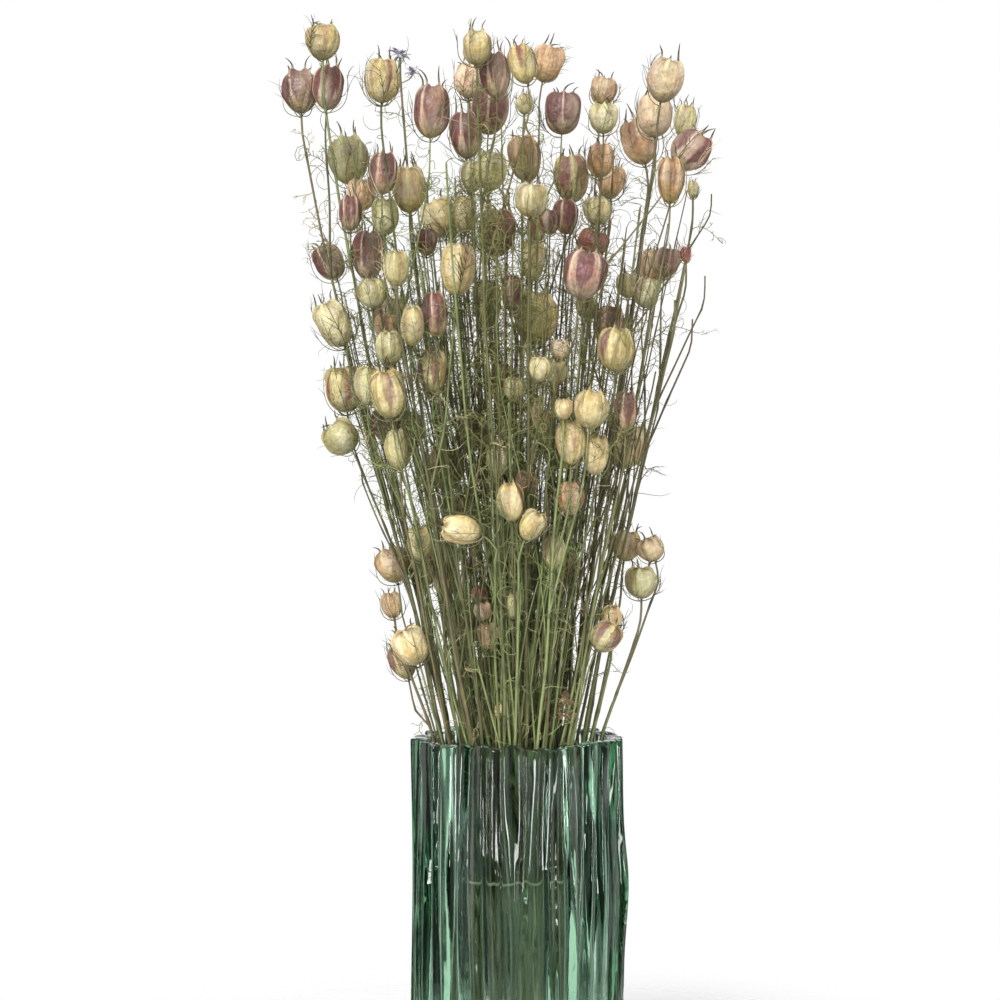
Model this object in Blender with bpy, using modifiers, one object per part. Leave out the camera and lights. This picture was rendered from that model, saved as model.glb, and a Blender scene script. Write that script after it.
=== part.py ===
# A bunch of dried nigella seed pods standing in a fluted green glass vase.
#
# Metres, +Z up. The origin is the middle of the vase's flat base, on the surface it stands on.
# -Y is the front, +X the right-hand side seen from the front.
#
# The vase is one solid. Each spray is one solid too: a cut stem with the side stems that fork
# from it, and on each stem's end one inflated pod with its horns and the threads under it.

import math
import random
from dataclasses import dataclass, field

import bmesh
import bpy
import numpy as np
from mathutils import Matrix, Vector

MM = 0.001
UP = Vector((0, 0, 1))
SHARP_ANGLE = math.radians(75)

# Vase
VASE_HEIGHT = 200 * MM
VASE_RADIUS = 56.5 * MM
BORE_RADIUS = 50 * MM
GLASS_FLOOR = 12 * MM
RIB_COUNT = 34
RIB_GAP_RANGE = (0.7, 1.35)
RIB_RISE_RANGE = (1.0 * MM, 2.6 * MM)
GROOVE_SHARE = 0.7
MEANDER_SHARE = 0.2
MEANDER_LENGTH_RANGE = (150 * MM, 320 * MM)
RIM_WAVE = 1.2 * MM
SWELL_HEIGHT = 118 * MM
SWELL_SPAN = 26 * MM
SWELL_RISE = 3.0 * MM
VASE_LEVELS = tuple(h * MM for h in (0, 2, 8, 50, 90, 125, 160, 200))
FOOT_SHARES = {0: 0.93, 1: 0.97}
BORE_STEPS = 40

# Tie round the stems, seen through the glass
TIE_HEIGHT = 124 * MM
TIE_RADIUS = 29.6 * MM
CORD_RADIUS = 0.7 * MM
TIE_STEPS = 24
TIE_SIDES = 4

# How the bunch spreads: half its width at each height
SPREAD = tuple((h * MM, w * MM) for h, w in (
    (12, 23), (124, 24), (200, 41), (275, 53), (330, 66),
    (385, 84), (440, 96), (495, 107), (560, 113), (640, 118)))
CROWD_FROM = 0.8
CROWD_AT_MOUTH = 1.12
CROWD_EASES = 5.0 / (40 * MM)

# The heads were read as they look from VIEW_DISTANCE in front of the vase's middle, at EYE_HEIGHT
VIEW_DISTANCE = 1200 * MM
EYE_HEIGHT = 330 * MM

# Heads on the near side: across, height, diameter, length in mm, lean to the right in degrees, tone
HEADS_SEEN = (
    (-107, 582, 19, 20, 0, "straw"), (-119, 555, 20, 25, -4, "plum"), (-104, 557, 17, 25, 5, "plum"),
    (-75, 561, 19, 25, 2, "striped"), (-48, 544, 20, 30, 3, "plum"), (-23, 579, 17, 20, 0, "straw"),
    (-27, 561, 15, 20, 0, "blush"), (-13, 564, 17, 26, -4, "plum"), (-15, 545, 21, 28, 4, "plum"),
    (-28, 531, 17, 27, -3, "plum"), (-92, 517, 22, 28, -5, "green"), (-85, 498, 16, 18, 0, "tan"),
    (-74, 510, 16, 24, 4, "plum"), (-60, 501, 19, 26, -2, "straw"), (-15, 511, 18, 22, 6, "green"),
    (-42, 485, 20, 22, -25, "straw"), (-26, 486, 13, 22, 2, "straw"), (2, 570, 15, 23, -14, "striped"),
    (17, 570, 18, 21, 16, "tan"), (4, 548, 9, 12, 5, "green"), (25, 543, 20, 24, 3, "plum"),
    (48, 555, 15, 16, 10, "tan"), (47, 540, 16, 17, 0, "green"), (82, 561, 20, 25, 14, "blush"),
    (76, 542, 20, 25, 0, "blush"), (68, 527, 20, 26, -14, "tan"), (92, 539, 12, 18, 10, "green"),
    (95, 522, 21, 24, 40, "plum"), (84, 506, 15, 26, 2, "tan"), (97, 501, 6, 10, 0, "green"),
    (5, 518, 19, 26, -8, "tan"), (30, 507, 20, 27, -5, "striped"), (46, 517, 15, 19, 0, "tan"),
    (52, 505, 15, 19, 10, "tan"), (44, 489, 15, 16, 0, "green"), (7, 495, 18, 19, 4, "green"),
    (-9, 477, 20, 27, 0, "plum"), (-103, 461, 17, 21, -25, "plum"), (-83, 465, 19, 28, 2, "plum"),
    (-64, 457, 14, 20, 0, "green"), (-34, 457, 19, 30, 4, "straw"), (-80, 444, 17, 17, 0, "green"),
    (-47, 432, 14, 26, -3, "plum"), (-59, 426, 13, 23, 0, "straw"), (-101, 427, 19, 27, -25, "green"),
    (-74, 413, 15, 20, 0, "green"), (-97, 391, 21, 26, -8, "striped"), (-82, 393, 16, 22, 3, "green"),
    (-62, 388, 20, 27, -8, "striped"), (-48, 402, 17, 25, 2, "striped"), (-92, 488, 13, 20, 0, "plum"),
    (-73, 486, 15, 21, 0, "green"), (9, 462, 14, 24, 4, "striped"), (36, 454, 25, 27, 12, "plum"),
    (41, 471, 18, 16, 20, "rose"), (39, 436, 13, 13, 0, "green"), (10, 430, 25, 30, 0, "straw"),
    (-15, 439, 16, 27, 0, "green"), (76, 458, 18, 21, 12, "tan"), (63, 448, 14, 14, 0, "green"),
    (71, 444, 14, 17, 10, "green"), (54, 413, 20, 25, 4, "striped"), (42, 380, 19, 22, 8, "straw"),
    (57, 379, 12, 23, 4, "plum"), (26, 380, 10, 12, 0, "straw"), (29, 362, 16, 26, 0, "striped"),
    (42, 355, 14, 23, 5, "straw"), (12, 402, 12, 14, 0, "green"), (93, 465, 6, 9, 0, "rose"),
    (-94, 364, 20, 19, -40, "green"), (-68, 358, 15, 23, -5, "green"), (-33, 314, 16, 22, -78, "straw"),
    (-53, 306, 15, 20, -6, "green"), (-64, 294, 20, 20, -15, "tan"), (-4, 329, 15, 22, -4, "striped"),
    (4, 339, 12, 15, 12, "rose"), (6, 316, 14, 18, 28, "straw"), (29, 331, 15, 19, 0, "tan"),
    (20, 301, 13, 19, 0, "green"), (70, 303, 15, 14, -20, "blush"), (71, 285, 18, 18, 0, "green"),
    (-67, 272, 12, 15, -10, "tan"), (-50, 250, 20, 22, -25, "straw"), (-62, 240, 15, 20, -18, "striped"),
    (38, 255, 17, 18, 35, "striped"), (52, 264, 12, 18, 0, "straw"), (-4, 272, 13, 16, 0, "green"),
    (-64, 580, 7, 11, 0, "wilted"),
)
TONES = ("straw", "plum", "striped", "green", "tan")

# Cut or broken ends that carry no pod: across and height in mm
ENDS_SEEN = ((85, 441), (104, 457), (106, 500), (96, 432), (-96, 415), (79, 402))

# Heads on the far side, which the view doesn't show, are drawn by rule
FAR_COUNT = 16
FAR_HEIGHTS = (255 * MM, 475 * MM)
FAR_DIAMETERS = (13 * MM, 21 * MM)

# Bare shoots among the stems, drawn by rule
SHOOT_COUNT = 16
SHOOT_HEIGHTS = (300 * MM, 450 * MM)
SHOOT_RADIUS = 0.7 * MM
SHOOT_TIP = 6 * MM

DENSE_BELOW = 430 * MM
NOD_DEGREES = 12
NECK = 12 * MM

# Sprays
HEADS_A_SPRAY = 3
JOIN_REACH = 0.34
FORK_DROPS = (46 * MM, 100 * MM)
LOWEST_FORK = 208 * MM
STEM_RADII = (1.35 * MM, 0.85 * MM)
SIDE_RADIUS = 0.8 * MM
STEM_SIDES = 3

# Spacing
LEVEL_STEP = 8 * MM
FOOT_HEIGHT = GLASS_FLOOR + 0.5 * MM
GAP = 1.7 * MM
WALL_GAP = 2.2 * MM
ROUNDS = 240
NEIGHBOUR_REACH = 8 * MM
STRAIGHTEN = 0.8 * MM

# Pod: each place is a share of the length up from the base, and a share of the radius out
POD_SIDES = 10
POD_RINGS = ((0.06, 0.48), (0.34, 0.97), (0.72, 0.93))
POD_GROOVE = 0.88
HORN_TIP = (1.13, 0.52)
HORN_NOTCH = (0.95, 0.48)
POD_TOP = 0.94
THREAD_COLLAR = 1.5 * MM
THREAD_BEND = (0.05, 1.08)
THREAD_TIP = (0.90, 1.22)
THREAD_RADIUS = 0.45 * MM
THREAD_CLEARANCE = 1.2 * MM
POD_HALF = 0.68
SMALL_POD = 13 * MM

TONE_COLOURS = {
    "straw": (0.62, 0.52, 0.30),
    "plum": (0.26, 0.11, 0.12),
    "striped": (0.45, 0.33, 0.20),
    "green": (0.36, 0.36, 0.16),
    "tan": (0.46, 0.29, 0.16),
    "blush": (0.62, 0.45, 0.34),
    "rose": (0.42, 0.13, 0.12),
    "wilted": (0.14, 0.14, 0.20),
}


@dataclass
class Head:
    """One pod, and the stem under it down to the fork or to the stem's cut end."""

    centre: Vector
    axis: Vector
    radius: float
    length: float
    tone: str
    spray: int = -1
    fork: float = 0.0
    main: bool = True
    route: list = field(default_factory=list)

    @property
    def bare(self):
        return self.radius <= SHOOT_RADIUS

    @property
    def base(self):
        return self.centre - self.axis * self.length / 2

    @property
    def neck(self):
        """Where the stem begins to turn into line with the pod."""
        return self.base - (self.axis + UP * 0.6).normalized() * NECK


def spread_at(height):
    heights, widths = zip(*SPREAD)
    return float(np.interp(height, heights, widths))


def crowded(share, height):
    """A stem's distance from the middle, as a share of the half width, where the mouth crowds it."""
    room = CROWD_AT_MOUTH - CROWD_FROM + max(0.0, height - VASE_HEIGHT) * CROWD_EASES
    if share <= CROWD_FROM:
        return share
    return CROWD_FROM + room * math.tanh((share - CROWD_FROM) / room)


def on_streamline(cell, height):
    """Where the stem of this cell, a place in the unit disc, runs at a height."""
    share = cell.length
    if share < 1e-9:
        return Vector((0, 0))
    return cell / share * crowded(share, height) * spread_at(height)


def axis_of(lean, nod):
    sideways = Matrix.Rotation(math.radians(lean), 3, "Y")
    forwards = Matrix.Rotation(math.radians(nod), 3, "X")
    return (sideways @ forwards @ UP).normalized()


def seen_head(row, draw):
    across, height, diameter, length, lean, tone = row
    height *= MM
    cell_x = across * MM / spread_at(height)
    rim = math.sqrt(max(0.02, 1.15**2 - cell_x**2))
    depth = draw.uniform(-1.0, -0.8) if height < DENSE_BELOW else draw.uniform(-0.95, 0.8)
    y = depth * rim * spread_at(height)
    nearer = 1 + y / VIEW_DISTANCE
    centre = Vector((across * MM * nearer, y, EYE_HEIGHT + (height - EYE_HEIGHT) * nearer))
    nod = draw.uniform(-NOD_DEGREES, NOD_DEGREES)
    return Head(centre, axis_of(lean, nod), diameter / 2 * MM * nearer, length * MM * nearer, tone)


def bare_end(across, y, height):
    """A stem that ends without a pod."""
    return Head(Vector((across, y, height)), UP.copy(), SHOOT_RADIUS, SHOOT_TIP, "green")


def shoot(draw):
    height = draw.uniform(*SHOOT_HEIGHTS)
    bearing = draw.uniform(0, math.tau)
    reach = spread_at(height) * math.sqrt(draw.uniform(0.02, 0.95))
    return bare_end(math.cos(bearing) * reach, math.sin(bearing) * reach, height)


def far_head(index, draw):
    height = draw.uniform(*FAR_HEIGHTS)
    bearing = math.pi * (index + 0.5) / FAR_COUNT
    reach = spread_at(height) * draw.uniform(0.85, 1.12)
    centre = Vector((math.cos(bearing) * reach, math.sin(bearing) * reach, height))
    radius = draw.uniform(*FAR_DIAMETERS) / 2
    outward = math.degrees(math.cos(bearing)) * 0.2
    axis = axis_of(outward, -draw.uniform(0, NOD_DEGREES))
    return Head(centre, axis, radius, radius * draw.uniform(2.2, 2.8), draw.choice(TONES))


def plan_heads():
    draw = random.Random(7)
    heads = [seen_head(row, draw) for row in HEADS_SEEN]
    heads += [far_head(index, draw) for index in range(FAR_COUNT)]
    heads += [bare_end(x * MM, draw.uniform(-0.4, 0.2) * spread_at(z * MM), z * MM) for x, z in ENDS_SEEN]
    heads += [shoot(draw) for _ in range(SHOOT_COUNT)]
    heads.sort(key=lambda head: -head.base.z)
    return heads


def gather_sprays(heads):
    """Joins each head to the nearest taller stem that has room for it, else gives it a stem of its own."""
    draw = random.Random(11)
    sprays = []
    for head in heads:
        cell = head.neck.xy / spread_at(head.neck.z)
        fork = head.neck.z - draw.uniform(*FORK_DROPS)
        near = [
            ((cell - taken[0].neck.xy / spread_at(taken[0].neck.z)).length, number)
            for number, taken in enumerate(sprays)
            if len(taken) < HEADS_A_SPRAY + head.bare
        ]
        distance, number = min(near, default=(9, -1))
        if distance < JOIN_REACH and fork > LOWEST_FORK:
            head.spray, head.fork, head.main = number, fork, False
            sprays[number].append(head)
        else:
            head.spray = len(sprays)
            sprays.append([head])
    return sprays


def disc_radius(head, height):
    """Half the pod's width at this height, a little full, with its horns."""
    if head.bare:
        return head.radius
    rise = height - head.centre.z
    lean = math.sqrt(max(0.0, 1 - head.axis.z**2))
    half = math.hypot(head.length / 2 * head.axis.z, head.radius * lean) + LEVEL_STEP / 4
    wide = head.radius + (head.length / 2 - head.radius) * lean**2
    if abs(rise) < half:
        return wide * math.sqrt(1 - (rise / half) ** 2)
    return 0.4 * head.radius if 0 < rise < half + head.length * 0.2 else 0.0


class Bunch:
    """The stems and pods as discs on level planes, moved apart until none touch."""

    def __init__(self, heads, sprays):
        self.heads = heads
        self.top = [head.centre.z + head.length * 0.75 for head in heads]
        count = int((max(self.top) - FOOT_HEIGHT) / LEVEL_STEP) + 2
        self.heights = FOOT_HEIGHT + LEVEL_STEP * np.arange(count)
        self.mains = [sprays[head.spray][0] for head in heads]
        self.main_index = [heads.index(main) for main in self.mains]
        shape = (count, len(heads))
        self.place = np.zeros((*shape, 2))
        self.radius = np.zeros(shape)
        self.is_stem = np.zeros(shape, bool)
        self.is_pod = np.zeros(shape, bool)
        for index, head in enumerate(heads):
            self.set_strand(index, head)
        self.free = self.may_touch()
        self.room = np.where(self.heights < VASE_HEIGHT + LEVEL_STEP, BORE_RADIUS - WALL_GAP, 1.0)
        self.room[np.abs(self.heights - TIE_HEIGHT) < LEVEL_STEP] = TIE_RADIUS - CORD_RADIUS - WALL_GAP

    def set_strand(self, index, head):
        """The strand's first route: its own streamline, eased over from the main stem's above the fork."""
        main = self.mains[index]
        own_cell = head.neck.xy / spread_at(head.neck.z)
        main_cell = main.neck.xy / spread_at(main.neck.z)
        start = FOOT_HEIGHT if head.main else head.fork
        for level, height in enumerate(self.heights):
            if start <= height < head.neck.z:
                share = 1.0 if head.main else (height - start) / (head.neck.z - start)
                share = share * share * (3 - 2 * share)
                cell = main_cell.lerp(own_cell, share)
                self.place[level, index] = on_streamline(cell, height)
                self.radius[level, index] = STEM_RADII[0]
                self.is_stem[level, index] = True
            elif head.neck.z <= height < self.top[index]:
                along = (height - head.centre.z) / max(head.axis.z, 0.35)
                along = min(max(along, -head.length / 2), head.length / 2)
                self.place[level, index] = (head.centre + head.axis * along).xy
                self.radius[level, index] = max(disc_radius(head, height), STEM_RADII[1])
                self.is_pod[level, index] = True

    def may_touch(self):
        """True for pairs that are kept apart: not a stem with itself, nor two that have just forked."""
        spray = np.array([head.spray for head in self.heads])
        fork = np.array([head.fork for head in self.heads])
        kin = spray[:, None] == spray[None, :]
        later = np.maximum(fork[:, None], fork[None, :])
        near_fork = self.heights[:, None, None] < later + 30 * MM
        apart = ~(kin[None] & near_fork)
        apart &= ~np.eye(len(self.heads), dtype=bool)[None]
        active = self.is_stem | self.is_pod
        return apart & active[:, :, None] & active[:, None, :]

    def find_neighbours(self):
        """The pairs of discs close enough to come to touch in the next rounds."""
        away = self.place[:, :, None, :] - self.place[:, None, :, :]
        reach = self.radius[:, :, None] + self.radius[:, None, :] + GAP + NEIGHBOUR_REACH
        return np.nonzero(np.triu(self.free & ((away**2).sum(-1) < reach**2)))

    def pushes(self, neighbours):
        """How far each disc has to move to clear the discs round it."""
        level, one, other = neighbours
        away = self.place[level, one] - self.place[level, other]
        distance = np.sqrt((away**2).sum(-1)) + 1e-9
        need = self.radius[level, one] + self.radius[level, other] + GAP
        lack = np.maximum(0.0, need - distance)
        step = away / distance[:, None] * lack[:, None] * 0.5
        push = np.zeros_like(self.place)
        np.add.at(push, (level, one), step)
        np.add.at(push, (level, other), -step)
        return push

    def settle(self):
        for turn in range(ROUNDS):
            if turn % 20 == 0:
                neighbours = self.find_neighbours()
            push = self.pushes(neighbours)
            self.move_stems(push)
            self.move_pods(push)
            self.hold_ends()

    def move_stems(self, push):
        self.place += np.where(self.is_stem[..., None], push, 0.0)
        bend = np.zeros_like(self.place)
        inner = self.is_stem[1:-1] & self.is_stem[:-2] & (self.is_stem[2:] | self.is_pod[2:])
        middle = (self.place[:-2] + self.place[2:]) / 2 - self.place[1:-1]
        bend[1:-1] = np.where(inner[..., None], middle, 0.0)
        self.place += 0.5 * bend
        reach = np.sqrt((self.place**2).sum(-1))
        self.place *= np.minimum(1.0, self.room[:, None] / np.maximum(reach, 1e-9))[..., None]

    def move_pods(self, push):
        """A pod moves as one, and more in depth than across, so that the front view keeps its places."""
        held = np.where(self.is_pod[..., None], push, 0.0)
        hits = np.maximum(1, (np.abs(held).sum(-1) > 0).sum(0))
        step = held.sum(0) / hits[:, None] * np.array((0.35, 0.9))
        for index, head in enumerate(self.heads):
            head.centre = head.centre + Vector((*step[index], 0))
        self.place += np.where(self.is_pod[..., None], step[None], 0.0)

    def hold_ends(self):
        """Each stem's top meets its neck, and each side stem's foot stays on the main stem."""
        for index, head in enumerate(self.heads):
            levels = np.flatnonzero(self.is_stem[:, index])
            if len(levels) > 1:
                last = levels[-1]
                self.place[last, index] = (Vector(self.place[last, index]) + head.neck.xy) / 2
            if not head.main and len(levels):
                main = self.main_index[index]
                self.place[levels[0], index] = self.place[levels[0], main]

    def write_routes(self):
        for index, head in enumerate(self.heads):
            levels = np.flatnonzero(self.is_stem[:, index])
            head.route = [Vector((*self.place[level, index], self.heights[level])) for level in levels]
            while head.route and head.route[-1].z > head.neck.z - LEVEL_STEP / 2:
                head.route.pop()
            head.route += [head.neck, head.base]


def arrange():
    heads = plan_heads()
    sprays = gather_sprays(heads)
    bunch = Bunch(heads, sprays)
    bunch.settle()
    bunch.write_routes()
    return sprays


def straightened(points, slack):
    """The points that a polyline needs to stay within slack of the route."""
    first, last = points[0], points[-1]
    along = (last - first).normalized()
    offsets = [((p - first) - along * (p - first).dot(along)).length for p in points]
    worst = max(range(len(points)), key=lambda i: offsets[i])
    if len(points) < 3 or offsets[worst] < slack:
        return [first, last]
    return straightened(points[: worst + 1], slack)[:-1] + straightened(points[worst:], slack)


def side_vectors(axis):
    across = axis.cross(Vector((0, 1, 0))).normalized()
    return across, axis.cross(across).normalized()


def add_ring(bm, centre, axis, radii, turn=0.0):
    """A ring of vertices round the axis, one for each radius."""
    across, over = side_vectors(axis)
    ring = []
    for step, radius in enumerate(radii):
        angle = turn + math.tau * step / len(radii)
        ring.append(bm.verts.new(centre + (across * math.cos(angle) + over * math.sin(angle)) * radius))
    return ring


def bridge(bm, lower, upper):
    """Triangles between two rings that may have different numbers of vertices."""
    faces = []
    low = high = 0
    while low < len(lower) or high < len(upper):
        a, b = lower[low % len(lower)], upper[high % len(upper)]
        if (low + 0.5) / len(lower) < (high + 0.5) / len(upper):
            low += 1
            faces.append(bm.faces.new((a, lower[low % len(lower)], b)))
        else:
            high += 1
            faces.append(bm.faces.new((a, upper[high % len(upper)], b)))
    return faces


def close_ring(bm, ring, point, upward=True):
    tip = bm.verts.new(point)
    for a, b in zip(ring, ring[1:] + ring[:1]):
        bm.faces.new((a, b, tip) if upward else (b, a, tip))


def stem_axes(points):
    """The mean direction at each point of a route."""
    runs = [(b - a).normalized() for a, b in zip(points, points[1:])]
    return [(a + b).normalized() for a, b in zip([runs[0]] + runs, runs + [runs[-1]])]


def smooth(mesh):
    """Round shading, with the ribs, horns and cut ends left sharp."""
    mesh.shade_smooth()
    mesh.set_sharp_from_angle(angle=SHARP_ANGLE)


def add_stem(bm, points, start_radius, end_radius):
    """A three-sided stem through the points. Returns its last two rings and the faces between them."""
    rings, faces = [], []
    axes = stem_axes(points)
    for step, (point, axis) in enumerate(zip(points, axes)):
        share = step / (len(points) - 1)
        radius = start_radius + (end_radius - start_radius) * share
        rings.append(add_ring(bm, point, axis, [radius] * STEM_SIDES))
        if step:
            faces = bridge(bm, rings[-2], rings[-1])
    bm.faces.new(rings[0][::-1])
    return rings, faces


def add_pod(bm, head, below):
    """The pod: five lobes between grooves, closed at the top inside a crown of five horns."""
    at = lambda share: head.base + head.axis * head.length * share
    previous = below
    for share, width in POD_RINGS:
        radii = [head.radius * width * (1 if side % 2 == 0 else POD_GROOVE) for side in range(POD_SIDES)]
        ring = add_ring(bm, at(share), head.axis, radii)
        bridge(bm, previous, ring)
        previous = ring
    crown = add_ring(bm, at(HORN_NOTCH[0]), head.axis, [head.radius * HORN_NOTCH[1]] * POD_SIDES)
    for side in range(0, POD_SIDES, 2):
        outward = (crown[side].co - at(HORN_NOTCH[0])).normalized()
        crown[side].co = at(HORN_TIP[0]) + outward * head.radius * HORN_TIP[1]
    bridge(bm, previous, crown)
    close_ring(bm, crown, at(POD_TOP))


def thread_points(head, outward):
    """Root, bend and tip of one thread, which runs out under the pod and up beside it."""
    at = lambda share, width: head.base + head.axis * head.length * share + outward * head.radius * width
    return at(-0.02, 0.0), at(*THREAD_BEND), at(*THREAD_TIP)


def add_thread(bm, face, head, outward):
    root, bend, tip = thread_points(head, outward)
    mean = ((bend - root).normalized() + (tip - bend).normalized()).normalized()
    middle = face.calc_center_median()
    offsets = [(vertex.co - middle).normalized() * THREAD_RADIUS for vertex in face.verts]
    turn = face.normal.rotation_difference(mean)
    grown = bmesh.ops.extrude_discrete_faces(bm, faces=[face])["faces"][0]
    for vertex, offset in zip(grown.verts, offsets):
        vertex.co = bend + turn @ offset
    point = bmesh.ops.poke(bm, faces=[grown])["verts"][0]
    point.co = tip


def distance_between(a, b, c, d):
    """The least distance between segments ab and cd, sampled closely enough for thin stems."""
    best = 9.0
    for share in (0.15, 0.4, 0.65, 0.9, 1.0):
        point = a.lerp(b, share)
        run = d - c
        along = min(max((point - c).dot(run) / max(run.length_squared, 1e-12), 0.0), 1.0)
        best = min(best, (point - (c + run * along)).length)
    return best


def inside_pod(point, pod, margin):
    """True where the point is within the margin of the pod or of its horns."""
    along = (point - pod.centre).dot(pod.axis)
    flat = ((point - pod.centre) - pod.axis * along).length
    return math.hypot(along / (pod.length * POD_HALF + margin), flat / (pod.radius + margin)) < 1


def thread_is_clear(head, outward, others, drawn):
    root, bend, tip = thread_points(head, outward)
    for other_bend, other_tip in drawn:
        if distance_between(bend, tip, other_bend, other_tip) < 2 * THREAD_RADIUS + THREAD_CLEARANCE:
            return False
    samples = [root.lerp(bend, 0.7)] + [bend.lerp(tip, step / 5) for step in range(6)]
    for other in others:
        if not other.bare and any(inside_pod(point, other, THREAD_CLEARANCE) for point in samples):
            return False
        for c, d in zip(other.route, other.route[1:]):
            if d.z > root.z - head.length and c.z < tip.z + head.length:
                least = min(distance_between(root, bend, c, d), distance_between(bend, tip, c, d))
                if least < STEM_RADII[0] + THREAD_RADIUS + THREAD_CLEARANCE:
                    return False
    return True


def thread_faces(faces, head):
    """The stem's last faces that have two corners at the top: one for each thread."""
    height = lambda face: sum((vertex.co - head.base).dot(head.axis) for vertex in face.verts)
    return sorted(faces, key=height, reverse=True)[:STEM_SIDES]


def add_head(bm, head, rings, faces, others, drawn):
    if head.bare:
        close_ring(bm, rings[-1], head.base + head.axis * SHOOT_RADIUS)
        return
    add_pod(bm, head, rings[-1])
    if head.radius * 2 < SMALL_POD:
        return
    bm.normal_update()
    for face in thread_faces(faces, head):
        outward = (face.normal - head.axis * face.normal.dot(head.axis)).normalized()
        if thread_is_clear(head, outward, others, drawn):
            add_thread(bm, face, head, outward)
            drawn.append(thread_points(head, outward)[1:])


def strand_object(name, head, heads, drawn, collection):
    """One stem with its pod, as a closed mesh."""
    route = straightened(head.route[:-1], STRAIGHTEN) + [head.base]
    if not head.main:
        along = (route[1] - route[0]).normalized()
        route[0] = route[0] - along * STEM_RADII[0] * 0.2
    collar = head.base - (head.base - route[-2]).normalized() * THREAD_COLLAR
    route.insert(-1, collar)
    radii = STEM_RADII if head.main else (SIDE_RADIUS, SIDE_RADIUS)
    bm = bmesh.new()
    rings, faces = add_stem(bm, route, *radii)
    others = [other for other in heads if other is not head]
    add_head(bm, head, rings, faces, others, drawn)
    mesh = bpy.data.meshes.new(name)
    bm.to_mesh(mesh)
    bm.free()
    strand = bpy.data.objects.new(name, mesh)
    collection.objects.link(strand)
    return strand


def paint(name, colour, roughness, alpha=1.0, transmission=0.0):
    material = bpy.data.materials.get(name) or bpy.data.materials.new(name)
    material.use_nodes = True
    shader = material.node_tree.nodes["Principled BSDF"]
    shader.inputs["Base Color"].default_value = (*colour, alpha)
    shader.inputs["Roughness"].default_value = roughness
    shader.inputs["Transmission Weight"].default_value = transmission
    return material


def spray_tone(members):
    """The tone that most of a spray's pods have."""
    tones = [head.tone for head in members if not head.bare] or ["green"]
    return max(sorted(set(tones)), key=tones.count)


def build_spray(number, members, heads, drawn, parts):
    """Joins a spray's side stems to its main stem in one Boolean union."""
    name = f"spray_{number + 1:02d}"
    spray = strand_object(name, members[0], heads, drawn, parts)
    if len(members) > 1:
        sides = bpy.data.collections.new(name + "_side_stems")
        bpy.context.scene.collection.children.link(sides)
        for head in members[1:]:
            strand_object(name + "_side", head, heads, drawn, sides)
        union = spray.modifiers.new("side stems", "BOOLEAN")
        union.operation = "UNION"
        union.operand_type = "COLLECTION"
        union.collection = sides
        union.solver = "EXACT"
        graph = bpy.context.evaluated_depsgraph_get()
        joined = bpy.data.meshes.new_from_object(spray.evaluated_get(graph))
        spray.modifiers.clear()
        spray.data = joined
        for strand in list(sides.objects):
            bpy.data.objects.remove(strand)
        bpy.data.collections.remove(sides)
    tone = spray_tone(members)
    spray.data.materials.clear()
    spray.data.materials.append(paint(tone + " pods", TONE_COLOURS[tone], 0.7))
    smooth(spray.data)
    return spray


def rib_layout():
    """Where each rib and groove stands on the vase, and how it wanders up the glass."""
    draw = random.Random(3)
    gaps = [draw.uniform(*RIB_GAP_RANGE) for _ in range(RIB_COUNT)]
    ribs, bearing = [], 0.0
    for gap in gaps:
        width = math.tau * gap / sum(gaps)
        for rise in (1.0, -GROOVE_SHARE):
            ribs.append((
                bearing,
                rise * draw.uniform(*RIB_RISE_RANGE),
                MEANDER_SHARE * width,
                draw.uniform(*MEANDER_LENGTH_RANGE),
                draw.uniform(0, math.tau),
            ))
            bearing += width / 2
    return ribs


def swell(bearing, height):
    """The one knot that bulges on the vase's right-hand side."""
    up_and_down = math.exp(-(((height - SWELL_HEIGHT) / SWELL_SPAN) ** 2))
    return SWELL_RISE * up_and_down * max(0.0, math.cos(bearing)) ** 4


def vase_ring(bm, level, height, ribs):
    ring = []
    for bearing, rise, wander, wave, phase in ribs:
        sway = math.sin(math.tau * height / wave + phase)
        angle = bearing + wander * sway
        radius = VASE_RADIUS + rise * (1 + 0.3 * sway) + swell(angle, height)
        radius *= FOOT_SHARES.get(level, 1.0)
        z = height + (RIM_WAVE * math.sin(3 * phase) if height == VASE_HEIGHT else 0.0)
        ring.append(bm.verts.new((radius * math.cos(angle), radius * math.sin(angle), z)))
    return ring


def bore_cutter(cutters):
    """The space inside the vase: a profile turned about Z, rounded where wall meets floor."""
    corner = 8 * MM
    arc = [math.radians(angle) for angle in (0, 30, 60, 90)]
    profile = [(0.0, VASE_HEIGHT + 20 * MM), (BORE_RADIUS + 0.6 * MM, VASE_HEIGHT + 20 * MM)]
    profile += [
        (BORE_RADIUS - corner * (1 - math.cos(a)), GLASS_FLOOR + corner * (1 - math.sin(a))) for a in arc
    ]
    profile.append((0.0, GLASS_FLOOR))
    mesh = bpy.data.meshes.new("vase_bore")
    edges = [(i, i + 1) for i in range(len(profile) - 1)]
    mesh.from_pydata([(x, 0, z) for x, z in profile], edges, [])
    cutter = bpy.data.objects.new("vase_bore", mesh)
    cutters.objects.link(cutter)
    turn = cutter.modifiers.new("turn", "SCREW")
    turn.steps = turn.render_steps = BORE_STEPS
    turn.use_merge_vertices = True
    turn.merge_threshold = 0.00001
    cutter.hide_render = True
    cutter.display_type = "WIRE"
    return cutter


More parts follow.
